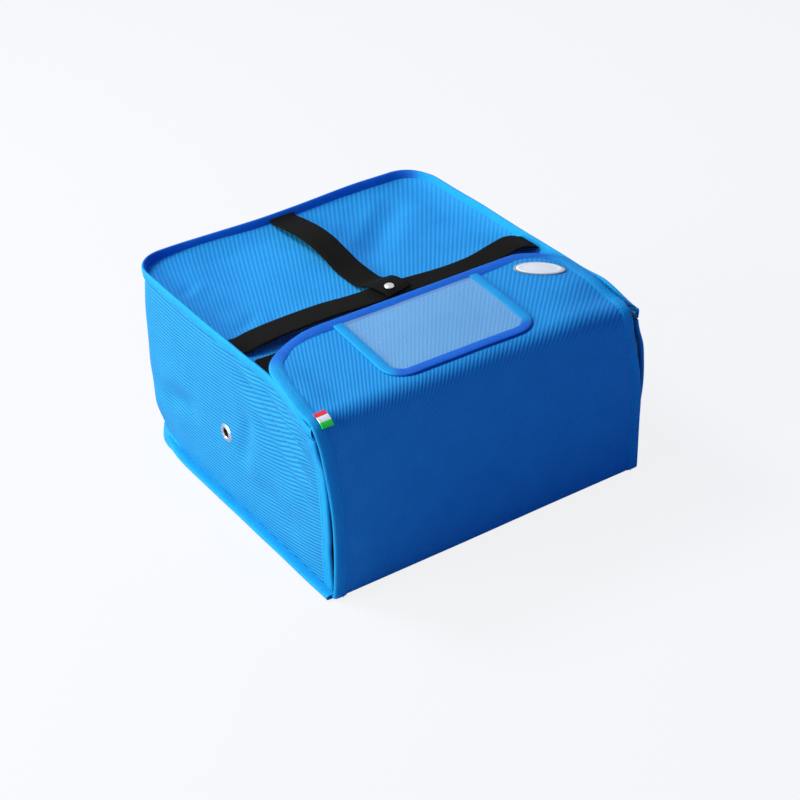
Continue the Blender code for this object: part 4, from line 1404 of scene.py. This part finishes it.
def top_edge_stations():
    """Crest line of the tape on the top's free front edge."""
    reach = wall_half - top_edge_short
    stations = []
    for x in spread(-reach, reach, 60):
        level = top_level - corner_sink(x, top_front) - 0.0010 - edge_half * 0.4
        stations.append((Vector((x, top_front - wall_edge_ahead, level)), Vector((0, 1, 0)),
                         Vector((0, 0, 1))))
    return stations


def top_lining_point(u, v, extra):
    y = top_rows(v, top_front + 0.002, wall_back - lining_inset)
    x = (2 * u - 1) * (top_half(y, 0.0) - lining_inset)
    depth = pinched(padding + lining_gap, y - top_front, lining_pinch)
    return Vector((x, y, top_height(x, y) - depth - extra))


class BAG_OT_seam_tapes(bpy.types.Operator):
    """Folded tape that stands along the seam between walls and top, and the one round the base"""
    bl_idname = "bag.seam_tapes"
    bl_label = "Seam tapes"

    def execute(self, context):
        add_tape("top_seam_tape", rim_stations(), "shell", ["top_binding"], rim_width, seam_half)
        add_tape("base_seam_tape", flange_stations(), "shell", ["base_binding"], base_tape_width)
        return {'FINISHED'}


class BAG_OT_base(bpy.types.Operator):
    """Underside cloth, stiff base and inside floor lining"""
    bl_idname = "bag.base"
    bl_label = "Base"

    def execute(self, context):
        cloth = cloth_material("ribbed_base_cloth", 33.0)
        base = lay_pad("base_padding", 70, 70, base_outer, base_inner, base_place)
        finish(base, cloth, "shell", ["base_cloth", "base_foam", "base_board"])
        lining = lay_lining("base_floor_lining", lining_cells, lining_cells, base_lining_point,
                            base_place, ["base_lining"])
        return {'FINISHED'}


def base_place(u, v, shrink=0.0):
    """A place on the base in plan, drawn in from its edge by a small length."""
    high = wall_back + (bag_half - wall_half) - shrink
    radius = base_corner - shrink
    y = top_rows(v, front_y + base_fold_radius + base_overlap, high)
    return (2 * u - 1) * rounded_half(bag_half - shrink, radius, y - (high - radius)), y


def inside_base(x, y):
    """How far a place lies in from the base's edge."""
    return min(bag_half - abs(x), wall_back + bag_half - wall_half - y)


def base_outer(u, v):
    x, y = base_place(u, v, 0.0030)
    inside = inside_base(x, y)
    return Vector((x, y, 0.0012 * (1 - rising(inside, 0.012, 0.006))))


def base_inner(u, v):
    x, y = base_place(u, v, 0.0042)
    inside = inside_base(x, y)
    thick = base_lining_low.z - 0.0003
    return Vector((x, y, 0.0030 + (thick - 0.0030) * rising(inside, 0.010, 0.006)))


def base_lining_point(u, v, extra):
    low = front_y + base_lining_low.z + 0.004
    y = top_rows(v, low, wall_back - lining_inset)
    x = (2 * u - 1) * (top_half(y, 0.0) - lining_inset)
    return Vector((x, y, base_lining_low.z + extra + 0.0004 * ripple((x, y, 0), 0.06, 33.0) ** 2))


class BAG_OT_front(bpy.types.Operator):
    """Padded drop front that bends at the base fold, with its lining and side tapes"""
    bl_idname = "bag.front"
    bl_label = "Front"

    def execute(self, context):
        cloth = cloth_material("ribbed_panel_cloth", 0.0)
        front = add_panel("front_padding", 0.0, split_run)
        finish(front, cloth, front_bend, ["front_cloth", "front_foam"])
        lining = add_panel_lining("front_lining_cloth", 0.0, split_run, front_bend, ["front_lining"])
        for side, name in sides:
            add_tape(name + "_front_edge_tape", side_tape_stations(side, 0.0), front_bend,
                     [name + "_front_binding"])
        return {'FINISHED'}


front_bend = ("shell", "front", (0, front_y + base_fold_radius + base_overlap, 0),
              (0, front_y, base_fold_radius + base_overlap))
lip_bend = ("front", "lip", (0, front_y, fold_z - 0.002),
            (0, fold_y + 0.010, lip_level))


class BAG_OT_lip(bpy.types.Operator):
    """Padded lip that bends over the top fold, with its lining and its bound rounded edge"""
    bl_idname = "bag.lip"
    bl_label = "Lip"

    def execute(self, context):
        cloth = cloth_material("ribbed_panel_cloth", 0.0)
        lip = add_panel("lip_padding", split_run, panel_run - panel_inset)
        finish(lip, cloth, lip_bend, ["lip_cloth", "lip_foam"])
        lining = add_panel_lining("lip_lining_cloth", split_run, panel_run - panel_lining_inset,
                                  lip_bend, ["lip_lining"])
        add_tape("lip_edge_tape", lip_edge_stations(), lip_bend, ["lip_binding"])
        return {'FINISHED'}


def grip_place(u, v, low, high):
    """A place on a grip tape in plan, a rectangle whose corners are rounded off a little."""
    x = low[0] + (high[0] - low[0]) * u
    y = low[1] + (high[1] - low[1]) * v
    near = min(x - low[0], high[0] - x)
    if near < grip_corner:
        draw = grip_corner - math.sqrt(max(grip_corner ** 2 - (grip_corner - near) ** 2, 0.0))
        y = max(min(y, high[1] - draw), low[1] + draw)
    return x, y


class BAG_OT_grips(bpy.types.Operator):
    """Loop tape sewn on the top and hook tape under the lip"""
    bl_idname = "bag.grips"
    bl_label = "Grip tapes"

    def execute(self, context):
        def loop_place(u, v, height):
            x, y = grip_place(u, v, (loop_tape_left, loop_low.y), (loop_high.x, loop_tape_rear))
            return Vector((x, y, top_height(x, y) + height + 0.0003 * ripple((x, y, 0), 0.02, 41.0)))

        def hook_place(u, v, depth):
            x, y = grip_place(u, v, hook_low, hook_high)
            return lip_at(x, y, -padding - lining_sheet - 0.0010 - depth)

        for name, columns, place, near, long, body in (
                ("loop_tape", 80, loop_place, 0.00015, 0.34, "shell"),
                ("hook_tape", 60, hook_place, 0.0, 0.24, "lip")):
            item = lay_pad(name + "_pile", columns, 10, lambda u, v: place(u, v, grip_sheet),
                           lambda u, v: place(u, v, near), lambda u, v: (long * u, 0.04 * v))
            finish(item, pile_material(), body, [name])
        return {'FINISHED'}


def pocket_outline():
    """Places along the pocket's sewn edge in plan, from its right rear round the front."""
    straight = pocket_half - pocket_corner
    left, right = ([(x, y) for y in steps_between(pocket_rear(x), pocket_front_y + pocket_corner,
                                                  pocket_step)] for x in (-pocket_half, pocket_half))
    arc = []
    for k in range(1, 9):
        angle = math.pi / 2 * k / 9
        arc.append((pocket_half - pocket_corner * (1 - math.cos(angle)),
                    pocket_front_y + pocket_corner * (1 - math.sin(angle))))
    middle = [(x, pocket_front_y) for x in steps_between(-straight, straight, pocket_step)]
    return (left + [(-x, y) for x, y in arc] + middle + arc[::-1] + right[::-1])[::-1]


def pocket_at(x, y, height):
    """A point over the lip, the pocket's sides leaning a little to the left towards the fold."""
    return lip_at(x + pocket_skew * (y - pocket_rear(x)), y, height)


def pocket_rear(x):
    """Where the pocket's film runs in under the tape of the lip's free edge."""
    return fold_y + lip_run * lip_stretch(x) - tape_width * 0.85


class BAG_OT_pocket(bpy.types.Operator):
    """Clear document pocket with its folded tape, sewn on the lip"""
    bl_idname = "bag.pocket"
    bl_label = "Document pocket"

    def execute(self, context):
        outline = pocket_outline()
        line = [pocket_at(x, y, pocket_lift) for x, y in outline]
        faces = [(pocket_at(x, y, 0.01) - pocket_at(x, y, 0.0)).normalized() for x, y in outline]
        stations = edge_frames(line, faces)
        add_tape("pocket_edge_tape", stations, lip_bend, ["pocket_binding"], pocket_tape, pocket_lift)

        def film(u, v, height):
            x = (2 * u - 1) * (pocket_half - film_inset)
            over = max(abs(x) - (pocket_half - pocket_corner), 0.0)
            radius = pocket_corner - film_inset
            low = pocket_front_y + film_inset + radius - math.sqrt(max(radius ** 2 - over ** 2, 0.0))
            y = low + (pocket_rear(x) - low) * v
            puff = 0.0008 * math.sin(math.pi * u) * math.sin(math.pi * min(v * 0.9, 1.0))
            wave = 0.00045 * ripple((x, y, 0), 0.04, 43.0)
            return pocket_at(x, y, 0.0009 + max(puff + wave, -0.0004) + height)

        window = lay_pad("pocket_film", 56, 36, lambda u, v: film(u, v, 0.0004),
                         lambda u, v: film(u, v, 0.0), lambda u, v: (0.17 * u, 0.12 * v))
        finish(window, film_material(), lip_bend, ["pocket_window"])
        return {'FINISHED'}


badge_turn = math.radians(-37.0)

# Rings of the badge from its middle out, as a share of its half size and a height
badge_rings = ((0.0, 0.0013), (0.30, 0.00135), (0.62, 0.0013), (0.78, 0.0012), (0.82, 0.0015),
               (0.88, 0.0015), (0.92, 0.0011), (0.97, 0.0009), (1.0, 0.0004), (0.99, 0.0))


def badge_place(along, across, height):
    """A point over the lip, from its place on the turned badge."""
    x = badge_middle.x + along * math.cos(badge_turn) - across * math.sin(badge_turn)
    y = badge_middle.y + along * math.sin(badge_turn) + across * math.cos(badge_turn)
    return lip_at(x, y, height)


class BAG_OT_badge(bpy.types.Operator):
    """Plain oval badge with a sewn rim and a raised plain border"""
    bl_idname = "bag.badge"
    bl_label = "Badge"

    def execute(self, context):
        last = len(badge_rings) - 1

        def place(u, v):
            share, height = badge_rings[round(v * last)]
            angle = 2 * math.pi * u
            return badge_place(math.cos(angle) * badge_half[0] * share,
                               math.sin(angle) * badge_half[1] * share, height + 0.0001)

        item = close_up(lay_grid("oval_badge", 64, last, place, lambda u, v: (u, v)), 60.0)
        plate = plain_material("badge_face", (0.72, 0.73, 0.75), 0.34, 0.0009)
        finish(item, plate, "lip", ["badge"])
        stitches = []
        for angle in spread(0.0, 2 * math.pi, 84)[:-1]:
            inner, outer = (badge_place(math.cos(angle) * (badge_half[0] + past),
                                        math.sin(angle) * (badge_half[1] + past), height)
                            for past, height in ((-0.0012, 0.0010), (0.0011, 0.0007)))
            stitches.append(((outer + inner) / 2, (outer - inner).normalized(), Vector((0, 0, 1))))
        thread = plain_material("grey_thread", (0.30, 0.31, 0.34), 0.6, 0.0006)
        sew("badge_rim_stitches", [stitches], "lip", thread, 0.0024, 0.0006)
        return {'FINISHED'}


class BAG_OT_ribbon(bpy.types.Operator):
    """Small folded ribbon in three bands, sewn in at the lip's left edge"""
    bl_idname = "bag.ribbon"
    bl_label = "Ribbon tag"

    def execute(self, context):
        def place(u, v, height):
            run = ribbon_run + ribbon_length * (v - 0.5)
            x = -panel_half(run, -1) + ribbon_inset + ribbon_width * u
            wave = 0.0004 * math.sin(3.0 * v + 1.0)
            return panel_at(x, run, height + wave)

        tag = lay_pad("ribbon_tag", 8, 18, lambda u, v: place(u, v, 0.0042),
                      lambda u, v: place(u, v, 0.0029), lambda u, v: (u, v))
        finish(tag, ribbon_material(), lip_bend, ["striped_tag"])
        return {'FINISHED'}


# Heights of the straps' undersides over the flat top, along their length
carry_left_keys = ((-0.1737, 0.0046), (-0.166, 0.0040), (-0.150, 0.0072), (-0.115, 0.0098),
                   (-0.070, 0.0098), (-0.035, 0.0070), (-0.012, 0.0064), (0.0, 0.0063))
carry_right_keys = ((0.0, 0.0063), (0.012, 0.0060), (0.040, 0.0036), (0.080, 0.0018),
                    (0.108, 0.0028), (0.132, 0.0078), (0.150, 0.0112), (0.163, 0.0090),
                    (0.1705, 0.0054), (0.1737, 0.0048))
rear_keys = ((-0.1820, 0.0046), (-0.174, 0.0036), (-0.155, 0.0066), (-0.128, 0.0098),
             (-0.100, 0.0098), (-0.075, 0.0058), (-0.052, 0.0012), (-0.030, 0.0005),
             (-0.014, 0.0010), (-0.004, 0.0042), (0.002, 0.0074), (0.008, 0.0102),
             (0.014, 0.0114), (0.019, 0.0118), (0.031, 0.0119), (0.036, 0.0106))


def slope_at(keys, place, step):
    """Slope of the smooth line through (place, value) keys."""
    return (through(keys, place + step) - through(keys, place - step)) / (2 * step)


def strap_station(point, across, face, roll):
    """Station of webbing that is rolled a little about its length."""
    across = (across + face * roll).normalized()
    return point, across, (face - across * face.dot(across)).normalized()


def carry_stations(keys):
    """Half of the carry strap, from left to right."""
    stations = []
    for x in steps_between(keys[0][0], keys[-1][0], carry_step):
        face = Vector((-slope_at(keys, x, 0.001), 0, 1)).normalized()
        roll = 0.10 * ripple((x, 0, 0), 0.06, 51.0)
        middle = strap_y + strap_shift + 0.0022 * ripple((x, 1, 0), 0.11, 52.0) * min(abs(x) / 0.05, 1)
        point = Vector((x, middle, top_level + through(keys, x)))
        stations.append(strap_station(point, Vector((0, 1, 0)), face, roll))
    return stations


def rear_stations(low, high):
    """The rear strap from the rear seam to the tab's fold."""
    stations = []
    for y in steps_between(high, low, rear_step):
        face = Vector((0, slope_at(rear_keys, -y, 0.0005), 1)).normalized()
        free = rising(y, 0.012, 0.040)
        roll = 0.09 * ripple((y, 3, 0), 0.05, 53.0) * free + 0.07 * smooth(-y / 0.020)
        aside = 0.0012 * ripple((y, 5, 0), 0.09, 54.0) * free + tab_turn * max(0.006 - y, 0.0)
        point = Vector((aside, y, top_level + through(rear_keys, -y)))
        across = Vector((1, tab_turn * smooth((0.010 - y) / 0.020), 0))
        stations.append(strap_station(point, across, face, roll))
    return stations


def strap(name, stations, body, nodes):
    """A length of webbing along its stations."""
    item = loft(name, stations, strap_section(strap_width, strap_sheet))
    return finish(item, webbing_material(), body, nodes)


class BAG_OT_straps(bpy.types.Operator):
    """Carry strap from seam to seam, the rear strap, and its end tab over the carry strap"""
    bl_idname = "bag.straps"
    bl_label = "Straps"

    def execute(self, context):
        level = top_level
        for (side, name), keys in zip(sides, (carry_left_keys, carry_right_keys)):
            bend = ("shell", "handle", (side * 0.168, strap_y, level), (side * 0.03, strap_y, level))
            strap("carry_strap_" + name, carry_stations(keys), bend, ["carry_strap"])
        rear_bend = ("shell", "handle", (0, 0.165, level), (0, 0.012, level))
        strap("rear_strap_webbing", rear_stations(tab_start, -rear_keys[0][0]), rear_bend, ["rear_strap"])
        tab_bend = ("handle", "tab", (0, tab_start, level), (0, tab_hinge_y - 0.008, level))
        strap("strap_end_tab", rear_stations(tab_end, tab_start), tab_bend, ["strap_tab"])
        return {'FINISHED'}


def turned(name, profile, centre, axis, around=40):
    """A ring or knob turned round an axis from a closed (radius, height) profile."""
    first = axis.orthogonal().normalized()
    second = axis.cross(first)
    count = len(profile)

    def place(u, v):
        radius, height = profile[round(v * count) % count]
        angle = 2 * math.pi * u
        return centre + (first * math.cos(angle) + second * math.sin(angle)) * radius + axis * height

    return close_up(lay_grid(name, around, count, place, lambda u, v: (u, v)), 35.0)


class BAG_OT_metal(bpy.types.Operator):
    """Vent eyelets through the side walls, and the press stud on the straps"""
    bl_idname = "bag.metal"
    bl_label = "Metal parts"

    def execute(self, context):
        metal = metal_material()
        middle = (eyelet_low + eyelet_high) / 2
        bore = vent_radius / 2
        run = middle.y - wall_front
        for side, name in sides:
            reach = wall_reach(run if side < 0 else band_run - run, middle.z)
            axis = Vector((side, 0, 0))
            centre = Vector((side * (wall_half + reach), middle.y, middle.z))
            deep = wall_half + reach - abs(eyelet_high.x)
            profile = ((bore + 0.0005, -0.0012), (bore + 0.0002, 0.0002), (bore + 0.0006, 0.0011),
                       (bore + 0.0020, 0.0016), (vent_radius - 0.0022, 0.0014),
                       (vent_radius - 0.0008, 0.0008), (vent_radius, 0.0000),
                       (vent_radius - 0.0004, -0.0008), (bore + 0.0012, -0.0008),
                       (bore + 0.0012, -0.0012))
            ring = turned(name + "_vent_eyelet", profile, centre, axis)
            finish(ring, metal, "shell", [name + "_eyelet"])
            # The barrel lining the vent's hole is painted near black: painted shade inside the hole.
            profile = ((bore, -deep), (bore, -0.0003), (bore + 0.0005, -0.0001), (bore + 0.0006, -deep))
            barrel = turned(name + "_vent_barrel", profile, centre, axis)
            finish(barrel, plain_material("shaded_barrel", (0.020, 0.013, 0.009), 0.7, 0.0008),
                   "shell")
        for node in ("left_eyelet_washer", "right_eyelet_washer", "snap_stud", "snap_post",
                     "snap_socket"):
            coat(frame["nodes"][node], metal)
        cap = cap_high.z - cap_low.z
        reach = (cap_high.x - cap_low.x) / 2 * 0.82
        profile = ((0.0, cap), (reach * 0.30, cap - 0.0001), (reach * 0.62, cap - 0.0004),
                   (reach * 0.86, cap - 0.0010), (reach * 0.97, cap - 0.0016), (reach, cap - 0.0021),
                   (reach * 0.97, cap - 0.0024), (reach * 0.30, cap - 0.0024), (0.0, cap - 0.0024))
        centre = Vector((stud_place.x, stud_place.y, cap_low.z + 0.0004))
        item = turned("press_stud_cap", profile, centre, Vector((0, 0, 1)), 48)
        finish(item, metal, "tab", ["snap_cap"])
        return {'FINISHED'}


def pierce(item, places):
    """Cut the vents' round holes through a piece."""
    for place in places:
        deselect()
        bpy.ops.mesh.primitive_cylinder_add(vertices=32, radius=vent_radius / 2 + 0.0004, depth=0.06)
        drill = bpy.context.object
        turn = Vector((1, 0, 0)).to_track_quat('Z', 'Y').to_matrix().to_4x4()
        drill.data.transform(Matrix.Translation(place) @ turn)
        activate(item)
        cut = item.modifiers.new("hole", 'BOOLEAN')
        cut.operation = 'DIFFERENCE'
        cut.solver = 'EXACT'
        cut.object = drill
        bpy.ops.object.modifier_apply(modifier=cut.name)
        bpy.data.objects.remove(drill)


class BAG_OT_stitches(bpy.types.Operator):
    """Rows of stitches along the tapes"""
    bl_idname = "bag.stitches"
    bl_label = "Stitches"

    def execute(self, context):
        thread = plain_material("blue_thread", tone(tuple(look().tape_colour), 0.72), 0.55, 0.0004)
        over = edge_half + thread_gap
        walls, fronts = [], []
        for side, name in sides:
            walls += seam_rows(wall_edge_stations(side), stitch_inset, over)
            front_edge = side_tape_stations(side, base_overlap + base_fold_radius)
            fronts += seam_rows(front_edge, stitch_inset, over)
        rim = seam_rows(rim_stations(), stitch_inset, seam_half + thread_gap)
        flange = seam_rows(flange_stations(), stitch_inset - 0.0014, over)
        lip = seam_rows(lip_edge_stations(), stitch_inset, over)
        for name, rows, body in (("top_seam", rim, "shell"), ("base_seam", flange, "shell"),
                                 ("wall_edge", walls, "shell"), ("front_edge", fronts, front_bend),
                                 ("lip_edge", lip, lip_bend)):
            sew(name + "_stitches", rows, body, thread)
        return {'FINISHED'}


def piece_operators():
    return (BAG_OT_stage, BAG_OT_base, BAG_OT_walls, BAG_OT_top, BAG_OT_seam_tapes,
            BAG_OT_front, BAG_OT_lip, BAG_OT_grips, BAG_OT_pocket, BAG_OT_badge, BAG_OT_ribbon,
            BAG_OT_straps, BAG_OT_metal, BAG_OT_stitches)


class BagLook(bpy.types.PropertyGroup):
    """Sizes, colours and light that a user may change"""
    cloth_colour: bpy.props.FloatVectorProperty(
        name="Cloth colour", description="Colour of the ribbed outside cloth", subtype='COLOR',
        size=3, min=0.0, max=1.0, default=(0.021, 0.262, 0.640))
    tape_colour: bpy.props.FloatVectorProperty(
        name="Tape colour", description="Colour of the folded tape on the edges", subtype='COLOR',
        size=3, min=0.0, max=1.0, default=(0.006, 0.318, 0.730))
    lining_colour: bpy.props.FloatVectorProperty(
        name="Lining colour", description="Colour of the lining", subtype='COLOR',
        size=3, min=0.0, max=1.0, default=(0.50, 0.52, 0.55))
    webbing_colour: bpy.props.FloatVectorProperty(
        name="Webbing colour", description="Colour of the straps", subtype='COLOR',
        size=3, min=0.0, max=1.0, default=(0.0048, 0.0048, 0.0050))
    rib_period: bpy.props.FloatProperty(
        name="Rib spacing", description="Distance between the cloth's ribs", unit='LENGTH',
        default=0.0042)
    rib_height: bpy.props.FloatProperty(
        name="Rib height", description="How far the cloth's ribs stand up", unit='LENGTH',
        default=0.00028)
    padding_bulge: bpy.props.FloatProperty(
        name="Padding bulge", description="How far the padding swells between its seams",
        unit='LENGTH', default=0.0026)
    room_light: bpy.props.FloatProperty(
        name="Room light", description="Strength of the light from all round", default=0.41)
    side_power: bpy.props.FloatProperty(
        name="Side lamp", description="Power of the large lamp on the left", unit='POWER',
        default=73.0)
    upper_power: bpy.props.FloatProperty(
        name="Upper lamp", description="Power of the lamp above and behind", unit='POWER',
        default=58.0)


class BAG_PT_looks(bpy.types.Panel):
    """Lists the bag's pieces in the sidebar"""
    bl_label = "Delivery bag"
    bl_idname = "BAG_PT_looks"
    bl_space_type = 'VIEW_3D'
    bl_region_type = 'UI'
    bl_category = "Delivery bag"

    def draw(self, context):
        for operator in piece_operators():
            self.layout.operator(operator.bl_idname)
        for name in BagLook.__annotations__:
            self.layout.prop(look(), name)


def register():
    for each in (BagLook, BAG_PT_looks, *piece_operators()):
        bpy.utils.register_class(each)
    bpy.types.Scene.bag_look = bpy.props.PointerProperty(type=BagLook)


def unregister():
    del bpy.types.Scene.bag_look
    for each in (BagLook, BAG_PT_looks, *piece_operators()):
        bpy.utils.unregister_class(each)


def main():
    register()
    bpy.ops.bag.stage()
    bpy.ops.bag.base()
    bpy.ops.bag.walls()
    bpy.ops.bag.top()
    bpy.ops.bag.seam_tapes()
    bpy.ops.bag.front()
    bpy.ops.bag.lip()
    bpy.ops.bag.grips()
    bpy.ops.bag.pocket()
    bpy.ops.bag.badge()
    bpy.ops.bag.ribbon()
    bpy.ops.bag.straps()
    bpy.ops.bag.metal()
    bpy.ops.bag.stitches()


if __name__ == "__main__":
    main()
